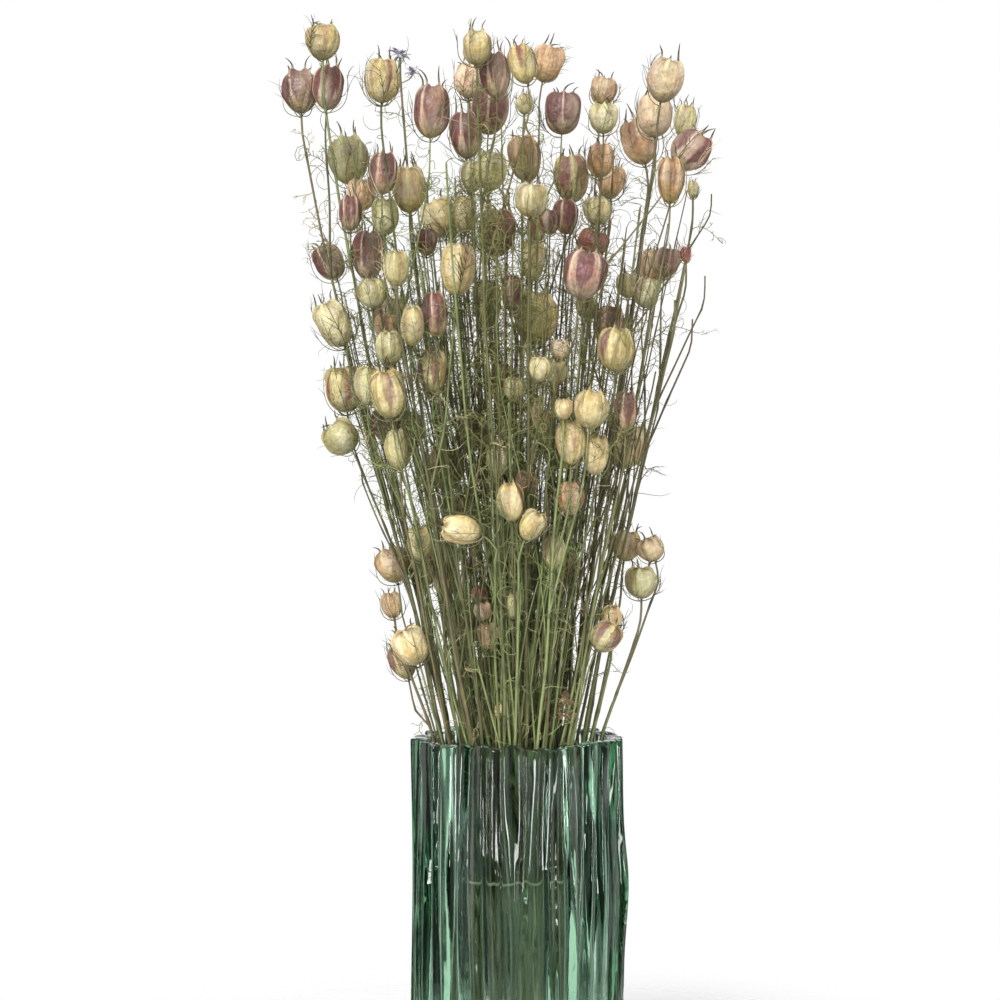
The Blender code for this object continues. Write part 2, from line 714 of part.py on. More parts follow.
def build_vase(parts, cutters):
    ribs = rib_layout()
    bm = bmesh.new()
    rings = [vase_ring(bm, level, height, ribs) for level, height in enumerate(VASE_LEVELS)]
    for lower, upper in zip(rings, rings[1:]):
        bridge(bm, lower, upper)
    bm.faces.new(rings[0][::-1])
    close_ring(bm, rings[-1], (0, 0, VASE_HEIGHT))
    mesh = bpy.data.meshes.new("vase")
    bm.to_mesh(mesh)
    bm.free()
    vase = bpy.data.objects.new("vase", mesh)
    parts.objects.link(vase)
    cut = vase.modifiers.new("bore", "BOOLEAN")
    cut.operation = "DIFFERENCE"
    cut.solver = "MANIFOLD"
    cut.object = bore_cutter(cutters)
    mesh.materials.append(paint("green glass", (0.10, 0.30, 0.20), 0.05, 0.35, 1.0))
    smooth(mesh)
    return vase


def build_tie(parts):
    """The cord loop that holds the stems together inside the vase."""
    bm = bmesh.new()
    rings = []
    for step in range(TIE_STEPS):
        bearing = math.tau * step / TIE_STEPS
        out = Vector((math.cos(bearing), math.sin(bearing), 0))
        centre = out * TIE_RADIUS + UP * TIE_HEIGHT
        ring = []
        for side in range(TIE_SIDES):
            turn = math.tau * side / TIE_SIDES
            around = out * math.cos(turn) + UP * math.sin(turn)
            ring.append(bm.verts.new(centre + around * CORD_RADIUS))
        rings.append(ring)
    for lower, upper in zip(rings, rings[1:] + rings[:1]):
        bridge(bm, upper, lower)
    mesh = bpy.data.meshes.new("tie")
    bm.to_mesh(mesh)
    bm.free()
    mesh.materials.append(paint("cord", (0.62, 0.60, 0.50), 0.9))
    smooth(mesh)
    parts.objects.link(bpy.data.objects.new("tie", mesh))


def clear_scene():
    for obj in list(bpy.data.objects):
        bpy.data.objects.remove(obj)


def new_collection(name):
    collection = bpy.data.collections.new(name)
    bpy.context.scene.collection.children.link(collection)
    return collection


def main():
    clear_scene()
    parts = new_collection("nigella_seed_pods")
    cutters = new_collection("cutters")
    build_vase(parts, cutters)
    build_tie(parts)
    sprays = arrange()
    heads = [head for members in sprays for head in members]
    drawn = []
    for number, members in enumerate(sprays):
        build_spray(number, members, heads, drawn, parts)


main()
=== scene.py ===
# Looks for a bouquet of dried nigella seed pods in a fluted green glass vase
# Metres, +Z up, the front towards -Y, the origin under the middle of the vase's base

import math
import random

import bpy
import numpy as np
from mathutils import Matrix, Vector


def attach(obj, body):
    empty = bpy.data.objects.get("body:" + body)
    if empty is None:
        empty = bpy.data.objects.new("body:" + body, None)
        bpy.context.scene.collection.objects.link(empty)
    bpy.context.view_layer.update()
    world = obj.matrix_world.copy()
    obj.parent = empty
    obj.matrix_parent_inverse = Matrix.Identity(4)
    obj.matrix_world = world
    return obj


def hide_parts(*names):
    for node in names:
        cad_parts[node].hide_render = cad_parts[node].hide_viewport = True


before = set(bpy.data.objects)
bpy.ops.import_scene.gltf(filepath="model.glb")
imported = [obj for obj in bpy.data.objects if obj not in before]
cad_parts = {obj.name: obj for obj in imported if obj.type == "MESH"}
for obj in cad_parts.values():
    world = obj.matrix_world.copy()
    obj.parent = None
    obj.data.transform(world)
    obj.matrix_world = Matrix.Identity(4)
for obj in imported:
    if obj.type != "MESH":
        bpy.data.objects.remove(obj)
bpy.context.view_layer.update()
scene = bpy.context.scene
mm = 0.001
up = Vector((0, 0, 1))
anyPhase = (0, 6.3)


# Node graphs
def tint(red, green, blue):  # a colour as it looks on a screen, made linear
    linear = [c / 12.92 if c <= 0.04045 else ((c + 0.055) / 1.055) ** 2.4 for c in (red, green, blue)]
    return (*linear, 1.0)


class Graph:  # the nodes of one material, or of the world
    def __init__(self, tree):
        self.tree = tree

    def feed(self, node, values):  # a number, a colour or another node's socket for each input
        for name, value in values.items():
            if isinstance(value, bpy.types.NodeSocket):
                self.tree.links.new(value, node.inputs[name])
            else:
                node.inputs[name].default_value = value

    def node(self, kind, values, **options):
        made = self.tree.nodes.new("ShaderNode" + kind)
        for name, option in options.items():
            setattr(made, name, option)
        self.feed(made, values)
        return made.outputs

    def attribute(self, name):
        return self.node("Attribute", {}, attribute_name=name)["Vector"]

    def objectPlace(self):
        return self.node("TexCoord", {})["Object"]

    def split(self, vector):
        return tuple(self.node("SeparateXYZ", {0: vector}))

    def calc(self, operation, first, second=0.0):
        return self.node("Math", {0: first, 1: second}, operation=operation)[0]

    def plus(self, first, second):
        return self.calc("ADD", first, second)

    def times(self, first, second):
        return self.calc("MULTIPLY", first, second)

    def ramp(self, value, low, high, start=0.0, end=1.0, step="SMOOTHSTEP"):  # a soft step from start to end
        values = dict(enumerate((value, low, high, start, end)))
        return self.node("MapRange", values, interpolation_type=step)[0]

    def noise(self, vector, scale, detail=3.0, roughness=0.55):
        values = {"Vector": vector, "Scale": scale, "Detail": detail, "Roughness": roughness}
        return self.node("TexNoise", values)["Fac"]

    def cells(self, vector, scale):  # how far it is to the nearest edge of a net
        values = {"Vector": vector, "Scale": scale}
        return self.node("TexVoronoi", values, feature="DISTANCE_TO_EDGE")["Distance"]

    def mix(self, share, first, second):  # of two colours: links, or tones as a screen shows them
        first, second = [tint(*c) if isinstance(c, tuple) else c for c in (first, second)]
        return self.node("Mix", {0: share, 6: first, 7: second}, data_type="RGBA")[2]

    def blend(self, share, first, second):  # of two numbers
        return self.node("Mix", {0: share, 2: first, 3: second}, data_type="FLOAT")[0]

    def bump(self, height, depth, strength=1.0):
        return self.node("Bump", {"Height": height, "Distance": depth, "Strength": strength})[0]

    def fromAxis(self):  # how far a point is from the upright axis
        across, deep, _ = self.split(self.objectPlace())
        squares = self.plus(self.calc("POWER", across, 2), self.calc("POWER", deep, 2))
        return self.calc("POWER", squares, 0.5)


class Skin(Graph):  # a material, its nodes and its colour so far
    def __init__(self, name):
        self.material = bpy.data.materials.new(name)
        self.material.use_nodes = True
        self.colour = (1.0, 1.0, 1.0, 1.0)
        super().__init__(self.material.node_tree)

    def lay(self, share, tone):
        self.colour = self.mix(share, self.colour, tone)

    def vary(self, hue, saturation, value):
        values = {"Color": self.colour, "Hue": hue, "Saturation": saturation, "Value": value}
        self.colour = self.node("HueSaturation", values)[0]

    def finish(self, **values):
        named = {name.replace("_", " "): value for name, value in values.items()}
        self.feed(self.tree.nodes["Principled BSDF"], {"Base Color": self.colour, **named})
        return self.material


# Camera, stage and light
studio = {
    "cameraPlace": (-9.4 * mm, -1200 * mm, 330 * mm),
    "lens": 78.5,
    "sensor": 36.0,
    "backdrop": 1.0,           # what the camera sees past the object
    "walls": (0.04, 1.5),      # the dim and the bright upright bands that light it
    "wallBands": 4,
    "bandEdge": 0.75,
    "inFront": 0.30,           # how much is left of the bands on the near side
    "nearSide": (-0.75, -0.5),
    "ceiling": 0.55,
    "ceilingFrom": (0.35, 0.8),
    "ground": 0.26,            # light from far below
    "groundFrom": (-0.3, -0.5),
    "floorRadius": 0.36,
    "floorFades": (0.36, 0.14),
    "floorGreys": (0.985, 0.995),
    "suns": (                  # turn from straight down, softness in degrees, strength, seen in glass
        ((60, 0, -26), 26, 2.5, True),
        ((76, 0, 10), 70, 1.2, False),
    ),
    "strips": (                # place, width, height and power of two upright lamps
        ((-0.32, -0.58, 0.10), 0.16, 0.12, 1.0),
        ((0.50, -0.40, 0.10), 0.08, 0.13, 0.45),
    ),
}


def newObject(name, data):
    made = bpy.data.objects.new(name, data)
    scene.collection.objects.link(made)
    return made


def makeStudio():
    camera = newObject("camera", bpy.data.cameras.new("camera"))
    camera.location = studio["cameraPlace"]
    camera.rotation_euler = (math.radians(90), 0, 0)
    camera.data.sensor_width = studio["sensor"]
    camera.data.lens = studio["lens"]
    scene.camera = camera
    for turns, softness, strength, mirrored in studio["suns"]:
        sun = newObject("sun", bpy.data.lights.new("sun", "SUN"))
        sun.data.angle = math.radians(softness)
        sun.data.energy = strength
        sun.rotation_euler = [math.radians(turn) for turn in turns]
        sun.visible_glossy = mirrored
    for place, width, height, power in studio["strips"]:
        strip = newObject("strip", bpy.data.lights.new("strip", "AREA"))
        strip.data.shape = "RECTANGLE"
        strip.data.size = width
        strip.data.size_y = height
        strip.data.energy = power
        strip.location = place
        strip.rotation_euler = Vector((-place[0], -place[1], 0)).to_track_quat("-Z", "Y").to_euler()
        strip.visible_camera = False
        strip.visible_transmission = False
    scene.world = makeWorld()
    scene.view_settings.view_transform = "Standard"
    bpy.ops.mesh.primitive_circle_add(vertices=96, radius=studio["floorRadius"], fill_type="NGON")
    floor = bpy.context.object
    floor.name = "floor"
    floor.data.materials.append(makeFloorPaint())


def makeWorld():  # bright and dim upright bands all round, so that the glass has something to bend
    world = bpy.data.worlds.new("studio")
    world.use_nodes = True
    graph = Graph(world.node_tree)
    east, north, rise = graph.split(graph.node("TexCoord", {})["Generated"])
    around = graph.times(graph.calc("ARCTAN2", north, east), studio["wallBands"])
    walls = graph.ramp(graph.calc("COSINE", around), 0.0, studio["bandEdge"], *studio["walls"])
    walls = graph.times(walls, graph.ramp(north, *studio["nearSide"], studio["inFront"], 1.0, "LINEAR"))
    lit = graph.blend(graph.ramp(rise, *studio["ceilingFrom"]), walls, studio["ceiling"])
    lit = graph.blend(graph.ramp(rise, *studio["groundFrom"]), lit, studio["ground"])
    lit = graph.blend(graph.node("LightPath", {})["Is Camera Ray"], lit, studio["backdrop"])
    graph.feed(graph.tree.nodes["Background"], {"Strength": lit, "Color": (1, 1, 1, 1)})
    return world


def makeFloorPaint():
    skin = Skin("floor paint")
    greys = [(grey, grey, grey) for grey in studio["floorGreys"]]
    skin.colour = skin.mix(skin.noise(skin.objectPlace(), 3.0), *greys)
    return skin.finish(Roughness=0.9, Alpha=skin.ramp(skin.fromAxis(), *studio["floorFades"]))


# Meshes
class Heap:  # the parts of one piece, gathered before its mesh is made
    def __init__(self):
        self.points, self.corners, self.sizes, self.slots, self.kinds = [], [], [], [], []
        self.layers = {"place": [], "grain": []}
        self.count = 0

    def add(self, points, faceLists, kind, place, grain):  # kind is the skin's name
        if kind not in self.kinds:
            self.kinds.append(kind)
        points = np.asarray(points).reshape(-1, 3)
        for faces in faceLists:
            self.corners.append((faces + self.count).ravel())
            self.sizes.append(np.full(len(faces), faces.shape[1]))
            self.slots.append(np.full(len(faces), self.kinds.index(kind)))
        self.points.append(points)
        self.layers["place"].append(np.asarray(place).reshape(-1, 3))
        self.layers["grain"].append(np.asarray(grain).reshape(-1, 3))
        self.count += len(points)

    def triangles(self):
        return sum(len(c) for c in self.corners) - 2 * sum(len(s) for s in self.sizes)

    def build(self, name, skins):
        mesh = bpy.data.meshes.new(name)
        points = np.concatenate(self.points).astype(np.float32)
        corners = np.concatenate(self.corners).astype(np.int32)
        sizes = np.concatenate(self.sizes)
        mesh.vertices.add(len(points))
        mesh.vertices.foreach_set("co", points.ravel())
        mesh.loops.add(len(corners))
        mesh.loops.foreach_set("vertex_index", corners)
        mesh.polygons.add(len(sizes))
        mesh.polygons.foreach_set("loop_start", (np.cumsum(sizes) - sizes).astype(np.int32))
        mesh.polygons.foreach_set("material_index", np.concatenate(self.slots).astype(np.int32))
        mesh.polygons.foreach_set("use_smooth", np.ones(len(sizes), bool))
        for key, rows in self.layers.items():
            layer = mesh.attributes.new(key, "FLOAT_VECTOR", "POINT")
            layer.data.foreach_set("vector", np.concatenate(rows).astype(np.float32).ravel())
        for kind in self.kinds:
            mesh.materials.append(skins[kind])
        mesh.update(calc_edges=True)
        mesh.validate()
        return newObject(name, mesh)


def unit(vectors):
    return vectors / np.maximum(np.linalg.norm(vectors, axis=-1, keepdims=True), 1e-12)


def routeArray(points):
    return np.array([tuple(p) for p in points])


def bearings(count):  # spaced evenly round a turn
    return math.tau * np.arange(count) / count


def sample(path, run, where):  # the places on a path for some values of what runs along it
    return np.stack([np.interp(where, run, column) for column in path.T], -1)


def anyHeading(draw, lift, *many):  # random directions, rather upwards
    return unit(draw.normal(size=(*many, 3)) + np.array((0, 0, lift)))


def threes(shape, *values):  # three numbers for each point
    return np.stack([np.broadcast_to(value, shape) for value in values], -1)


def gridFaces(count, sides):  # quads between rings, which lie one after another
    index = np.arange(count * sides).reshape(count, sides)
    beside = np.roll(index, -1, axis=1)
    return np.stack((index[:-1], beside[:-1], beside[1:], index[1:]), -1).reshape(-1, 4)


def closedFaces(count, sides):  # the same, with a fan to a point at either end; the points come last
    first = np.arange(sides)
    last = first + (count - 1) * sides
    lowFan = np.stack((np.roll(first, -1), first, np.full(sides, count * sides)), -1)
    highFan = np.stack((last, np.roll(last, -1), np.full(sides, count * sides + 1)), -1)
    return gridFaces(count, sides), lowFan, highFan


def ringsAlong(paths, radii, angles):  # a ring round each point of each path, turned as little as can be
    forward = unit(np.gradient(paths, axis=1))
    side = np.zeros_like(paths)
    current = np.cross(forward[:, 0], np.array((0.31, 0.93, 0.17)))
    for step in range(paths.shape[1]):
        ahead = forward[:, step]
        current = unit(current - ahead * (current * ahead).sum(-1, keepdims=True))
        side[:, step] = current
    over = np.cross(forward, side)
    ring = side[:, :, None] * np.cos(angles)[:, None] + over[:, :, None] * np.sin(angles)[:, None]
    return paths[:, :, None] + ring * radii[:, :, None, None]


def tubeFaces(many, steps, sides):
    starts = np.arange(many)[:, None] * steps * sides
    quads = (gridFaces(steps, sides)[None] + starts[:, :, None]).reshape(-1, 4)
    return quads, starts + np.arange(sides)[::-1], starts + (steps - 1) * sides + np.arange(sides)


thread = {"tip": 0.55, "grainRun": 60.0, "grainShift": 37}


def addTube(heap, path, radii, sides, seed, knots=0.0):
    shape = (1, len(path), sides)
    angles = bearings(sides)
    along = np.linspace(0, 1, len(path))[:, None]
    place = threes(shape, along, seed, np.broadcast_to(knots, len(path))[:, None])
    run = np.append(0, np.linalg.norm(np.diff(path, axis=0), axis=1).cumsum())[:, None]
    run = run * thread["grainRun"] + seed * thread["grainShift"]
    grain = threes(shape, np.cos(angles), np.sin(angles), run)
    heap.add(ringsAlong(path[None], radii[None], angles), tubeFaces(*shape), "stem", place, grain)


def addThreads(heap, paths, radius, kind, seeds):  # three-sided, thinner along the way and pointed
    many, steps, _ = paths.shape
    if not many:
        return
    radii = np.append(np.linspace(1, thread["tip"], steps - 1), 0)[None] * radius
    points = ringsAlong(paths, radii, bearings(3)).reshape(many, -1, 3)[:, :-2]
    each = points.shape[1]
    starts = np.arange(many)[:, None, None] * each
    last = (steps - 2) * 3
    tips = np.array([(last + k, last + (k + 1) % 3, each - 1) for k in range(3)] + [(2, 1, 0)])
    faces = [(shape[None] + starts).reshape(-1, shape.shape[1]) for shape in (gridFaces(steps - 1, 3), tips)]
    seed = np.asarray(seeds)[:, None]
    along = np.linspace(0, 1, each)
    grain = threes((many, each), 0.0, seed, along * steps + seed * thread["grainShift"])
    heap.add(points, faces, kind, threes((many, each), along, seed, 0.0), grain)


# Vase
vase = {
    "height": 200 * mm,
    "radius": 56.5 * mm,
    "bore": 50 * mm,
    "floor": 12 * mm,
    "ribs": 34,
    "ribGaps": (0.7, 1.35),
    "ribRises": (1.0 * mm, 2.6 * mm),
    "groove": 0.7,
    "meander": 0.2,
    "meanderLengths": (150 * mm, 320 * mm),
    "meanderRise": 0.3,
    "rimWave": 1.2 * mm,
    "fine": ((43, 31 * mm, 0.0), (59, 23 * mm, 1.9), (71, 47 * mm, 4.1)),   # waves round, and their sway
    "fineRise": 0.16 * mm,
    "inside": ((14, 57 * mm, 0.7), (25, 43 * mm, 2.6)),
    "insideRise": 0.32 * mm,
    "insideLevels": 20,
    "swellHeight": 118 * mm,
    "swellSpan": 26 * mm,
    "swellRise": 3.0 * mm,
    "around": 408,
    "levels": 42,
    "rimRound": 1.4 * mm,
    "footRound": 4.0 * mm,
    "floorRound": 8 * mm,
    "ripple": 0.35 * mm,
    "rippleFades": 20 * mm,
    "absorb": 66.0,
    "absorbed": (0.0, 0.44, 0.15, 1),      # what is left of white light deep in the glass
    "roughness": (0.0, 0.02),
}


def ribLayout():
    draw = random.Random(3)
    gaps = [draw.uniform(*vase["ribGaps"]) for _ in range(vase["ribs"])]
    ribs, bearing = [], 0.0
    for gap in gaps:
        width = math.tau * gap / sum(gaps)
        for rise in (1.0, -vase["groove"]):
            ribs.append((
                bearing,
                rise * draw.uniform(*vase["ribRises"]),
                vase["meander"] * width,
                draw.uniform(*vase["meanderLengths"]),
                draw.uniform(0, math.tau),
            ))
            bearing += width / 2
    return np.array(ribs).T


def outerWall(height, ribs, angles):  # the wall's radius and the rim's wave round the vase at one height
    bearing, rise, wander, wave, phase = ribs
    sway = np.sin(math.tau * height / wave + phase)
    middle = bearing + wander * sway
    peak = rise * (1 + vase["meanderRise"] * sway)
    lift = vase["rimWave"] * np.sin(3 * phase)
    order = np.concatenate((middle[-2:] - math.tau, middle, middle[:2] + math.tau))
    peaks, lifts = [np.concatenate((row[-2:], row, row[:2])) for row in (peak, lift)]
    turn = np.mod(angles, math.tau)
    after = np.searchsorted(order, turn, side="right")
    share = (turn - order[after - 1]) / (order[after] - order[after - 1])
    rising = peaks[after] > peaks[after - 1]
    share = np.where(rising, np.sin(share * math.pi / 2), 1 - np.cos(share * math.pi / 2))
    radius = vase["radius"] + peaks[after - 1] + (peaks[after] - peaks[after - 1]) * share
    span = math.exp(-(((height - vase["swellHeight"]) / vase["swellSpan"]) ** 2))
    radius += vase["swellRise"] * span * np.maximum(0, np.cos(turn)) ** 4
    for count, lean, shift in vase["fine"]:
        radius += vase["fineRise"] * np.sin(turn * count + 0.7 * np.sin(height / lean + shift) + shift)
    soft = (1 - np.cos(share * math.pi)) / 2
    return radius, lifts[after - 1] + (lifts[after] - lifts[after - 1]) * soft


def innerWall(height, angles):  # how far the bore's wall waves in and out at one height
    sway = np.sin(angles * 5 + height / (21 * mm)) + 0.7 * np.sin(angles * 9 - height / (13 * mm))
    wave = vase["ripple"] * sway
    for waves, lean, shift in vase["inside"]:
        sway = 1.2 * np.sin(height / lean + shift) + shift
        wave = wave + vase["insideRise"] * np.sin(angles * waves + sway)
    return wave * min(1.0, (vase["height"] - height) / vase["rippleFades"])


def makeVase(skins):
    ribs = ribLayout()
    count = vase["around"]
    angles = bearings(count)
    foot, rim, corner = vase["footRound"], vase["rimRound"], vase["floorRound"]
    top, floor = vase["height"], vase["floor"]
    base, _ = outerWall(0.0, ribs, angles)
    topRadius, lift = outerWall(top, ribs, angles)
    inner = np.full(count, vase["bore"])
    rings = [((base - foot) * share, 0.0) for share in (0.35, 0.7, 0.9)]
    for turn in np.radians((0, 25, 50, 75)):
        rings.append((base - foot * (1 - math.sin(turn)), foot * (1 - math.cos(turn))))
    for height in np.linspace(foot, top - rim, vase["levels"]):
        rings.append((outerWall(height, ribs, angles)[0], height + lift * (height / top) ** 6))
    for turn in np.radians((30, 60, 90)):
        rings.append((topRadius - rim * (1 - math.cos(turn)), top + lift - rim * (1 - math.sin(turn))))
    for turn in np.radians((90, 60, 30, 0)):
        rings.append((inner + rim * (1 - math.cos(turn)), top + lift - rim * (1 - math.sin(turn))))
    for height in np.linspace(top - 3 * rim, floor + corner, vase["insideLevels"]):
        rings.append((inner + innerWall(height, angles), height + lift * (height / top) ** 6))
    for turn in np.radians((25, 50, 75, 90)):
        rings.append((inner - corner * (1 - math.cos(turn)), floor + corner * (1 - math.sin(turn))))
    rings += [(inner * share, floor) for share in (0.75, 0.4, 0.15)]
    points = [threes(count, r * np.cos(angles), r * np.sin(angles), height) for r, height in rings]
    points = np.concatenate((*points, ((0, 0, 0), (0, 0, floor))))
    heap = Heap()
    heap.add(points, closedFaces(len(rings), count), "glass", points * 0, points * 0)
    piece = heap.build("fluted_vase", skins)
    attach(piece, "root")
    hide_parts("vase")


def makeGlass():
    skin = Skin("green glass")
    spot = skin.objectPlace()
    skin.finish(
        Roughness=skin.ramp(skin.noise(spot, 25.0), 0.3, 0.7, *vase["roughness"]),
        IOR=1.5,
        Transmission_Weight=1.0,
        Normal=skin.bump(skin.noise(spot, 60.0, 2.0), 1.2 * mm, 0.35))
    absorption = skin.node("VolumeAbsorption", {"Color": vase["absorbed"], "Density": vase["absorb"]})
    skin.feed(skin.tree.nodes["Material Output"], {"Volume": absorption[0]})
    return skin.material


# Tie: a twisted cord round the stems
tie = {
    "height": 124 * mm,
    "radius": 29.6 * mm,
    "cord": 0.7 * mm,
    "steps": 300,
    "sides": 12,
    "strands": 3,
    "strandRise": 0.14,
    "twists": 55,
    "full": 0.9,
    "tones": ((0.62, 0.60, 0.50), (0.86, 0.84, 0.76)),
}


def makeTie(skins):
    steps, sides, cord = tie["steps"], tie["sides"], tie["cord"]
    bearing, turn = bearings(steps)[:, None], bearings(sides)[None]
    lobes = 1 + tie["strandRise"] * np.cos(tie["strands"] * (turn - bearing * tie["twists"] / tie["strands"]))
    out = tie["radius"] + cord * lobes * np.cos(turn) * tie["full"]
    height = tie["height"] + cord * lobes * np.sin(turn) * tie["full"]
    points = np.stack((out * np.cos(bearing), out * np.sin(bearing), height), -1).reshape(-1, 3)
    index = np.arange(steps * sides).reshape(steps, sides)
    ahead, beside = np.roll(index, -1, axis=0), np.roll(index, -1, axis=1)
    quads = np.stack((index, ahead, np.roll(ahead, -1, axis=1), beside), -1).reshape(-1, 4)
    heap = Heap()
    grain = threes((steps, sides), np.cos(turn), np.sin(turn), bearing * 20)
    heap.add(points, (quads,), "cord", points * 0 + 0.5, grain)
    piece = heap.build("twisted_tie", skins)
    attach(piece, "root")
    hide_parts("tie")


def makeCordSkin():
    skin = Skin("cord fibre")
    fibres = skin.noise(skin.attribute("grain"), 12.0, 4.0)
    skin.colour = skin.mix(fibres, *tie["tones"])
    return skin.finish(Roughness=0.9, Normal=skin.bump(fibres, 0.3 * mm))


# Pod skins, one for each tone. pale and second share the ground, band lies between the ribs,
# from is how far from a rib the band begins: 0 on the rib, 1 in the middle of a pane,
# and panes is how few of the panes have it
podTones = {
    "straw": {"pale": (0.87, 0.81, 0.62), "second": (0.78, 0.69, 0.48), "band": (0.62, 0.44, 0.37),
              "from": 0.72, "strength": 0.6, "panes": 0.42},
    "plum": {"pale": (0.84, 0.74, 0.64), "second": (0.70, 0.54, 0.47), "band": (0.31, 0.13, 0.15),
             "from": 0.26, "strength": 0.92, "panes": 0.27},
    "striped": {"pale": (0.84, 0.79, 0.58), "second": (0.72, 0.64, 0.43), "band": (0.40, 0.21, 0.22),
                "from": 0.38, "strength": 0.9, "panes": 0.34},
    "green": {"pale": (0.83, 0.80, 0.62), "second": (0.68, 0.64, 0.45), "band": (0.52, 0.42, 0.32),
              "from": 0.62, "strength": 0.6, "panes": 0.42},
    "tan": {"pale": (0.83, 0.72, 0.57), "second": (0.71, 0.56, 0.42), "band": (0.47, 0.31, 0.23),
            "from": 0.50, "strength": 0.7, "panes": 0.36},
    "blush": {"pale": (0.90, 0.82, 0.68), "second": (0.85, 0.73, 0.61), "band": (0.62, 0.41, 0.38),
              "from": 0.66, "strength": 0.6, "panes": 0.46},
    "rose": {"pale": (0.72, 0.50, 0.45), "second": (0.60, 0.28, 0.27), "band": (0.36, 0.15, 0.16),
             "from": 0.30, "strength": 0.9, "panes": 0.34},
}
podMarks = {
    "base": (0.54, 0.52, 0.33),
    "crown": (0.40, 0.29, 0.21),
    "horn": (0.62, 0.58, 0.42),
    "hornTip": (0.36, 0.31, 0.22),
    "blemish": (0.34, 0.22, 0.14),
    "vein": (0.44, 0.31, 0.24),
    "roughness": (0.32, 0.48),
}


def makePodSkin(tone):
    look, marks = podTones[tone], podMarks
    skin = Skin(tone + " pod skin")
    fromRib, height, seed = skin.split(skin.attribute("place"))
    grain = skin.attribute("grain")
    spot = skin.objectPlace()
    # the ground, then a ragged band between the ribs, wider towards the base and with a higher seed
    ground = skin.ramp(skin.noise(grain, 1.5, 4.0, 0.6), 0.40, 0.60)
    skin.colour = skin.mix(ground, look["pale"], look["second"])
    ragged = skin.times(skin.calc("SUBTRACT", skin.noise(grain, 2.4, 5.0, 0.7), 0.5), 1.7)
    edge = skin.plus(skin.plus(fromRib, ragged), skin.ramp(height, 0.55, 0.0, 0.0, -0.7))
    edge = skin.plus(edge, skin.ramp(seed, 0.0, 1.0, -0.12, 0.26))
    banded = skin.ramp(edge, look["from"] - 0.16, look["from"] + 0.22, 0.0, look["strength"])
    panes = skin.ramp(skin.noise(grain, 0.75, 1.0), look["panes"], look["panes"] + 0.22)
    streaks = skin.noise(grain, 7.0, 4.0, 0.6)
    lighter = tuple(0.17 + c * 1.05 for c in look["band"])
    band = skin.mix(skin.ramp(streaks, 0.35, 0.65), look["band"], lighter)
    skin.lay(skin.times(banded, panes), band)
    skin.lay(skin.ramp(streaks, 0.62, 0.40, 0.0, 0.16), look["second"])
    # the base, the crown, the pale ribs, the net of veins, the flecks and the horns
    skin.lay(skin.ramp(height, 0.36, 0.0, 0.0, 0.6), marks["base"])
    crown = skin.times(skin.ramp(height, 0.84, 0.97), skin.ramp(fromRib, 0.2, 0.5, 0.0, 0.6))
    skin.lay(crown, marks["crown"])
    rib = skin.ramp(fromRib, min(0.26, look["from"] * 0.5), 0.04)
    paler = tuple(min(1, c * 1.06) for c in look["pale"])
    skin.lay(skin.times(rib, skin.ramp(height, 0.1, 0.75, 0.1, 0.7)), paler)
    skin.lay(skin.ramp(skin.cells(grain, 3.4), 0.035, 0.0, 0.0, 0.26), marks["vein"])
    skin.lay(skin.ramp(skin.noise(spot, 260.0, 4.0, 0.6), 0.64, 0.74, 0.0, 0.7), marks["blemish"])
    mottle = skin.ramp(skin.noise(spot, 420.0, 4.0, 0.6), 0.3, 0.7, 0.84, 1.12)
    skin.vary(
        skin.ramp(seed, 0.0, 1.0, 0.494, 0.508),
        skin.ramp(skin.noise(spot, 90.0), 0.3, 0.7, 0.85, 1.15),
        skin.times(mottle, skin.ramp(seed, 0.0, 1.0, 1.12, 0.90)))
    horn = skin.mix(skin.ramp(height, 1.0, 1.12), marks["horn"], marks["hornTip"])
    skin.lay(skin.ramp(height, 0.97, 1.03), horn)
    crumple = skin.times(skin.noise(spot, 170.0, 2.0), 0.9)
    wrinkle = skin.plus(skin.times(skin.noise(grain, 3.0, 4.0), 0.45), crumple)
    return skin.finish(
        Roughness=skin.ramp(mottle, 0.85, 1.1, *marks["roughness"]),
        Normal=skin.bump(wrinkle, 2.4 * mm),
        Subsurface_Weight=0.10,
        Subsurface_Radius=(1.0, 0.7, 0.4),
        Subsurface_Scale=1.2 * mm)


# Skins of stems, bracts and leaves. The last two values are how far it turns brown to the right
# and dry in the upper middle
strands = {
    "stem": {"young": (0.56, 0.61, 0.39), "old": (0.38, 0.38, 0.25), "dry": (0.50, 0.45, 0.32),
             "rough": 0.5, "browner": 0.6, "drier": 0.2},
    "bract": {"young": (0.58, 0.60, 0.42), "old": (0.37, 0.36, 0.27), "dry": (0.88, 0.82, 0.66),
              "rough": 0.7, "browner": 0.0, "drier": 0.4},
    "leaf": {"young": (0.60, 0.66, 0.41), "old": (0.46, 0.47, 0.30), "dry": (0.84, 0.78, 0.58),
             "rough": 0.75, "browner": 0.3, "drier": 0.42},
}

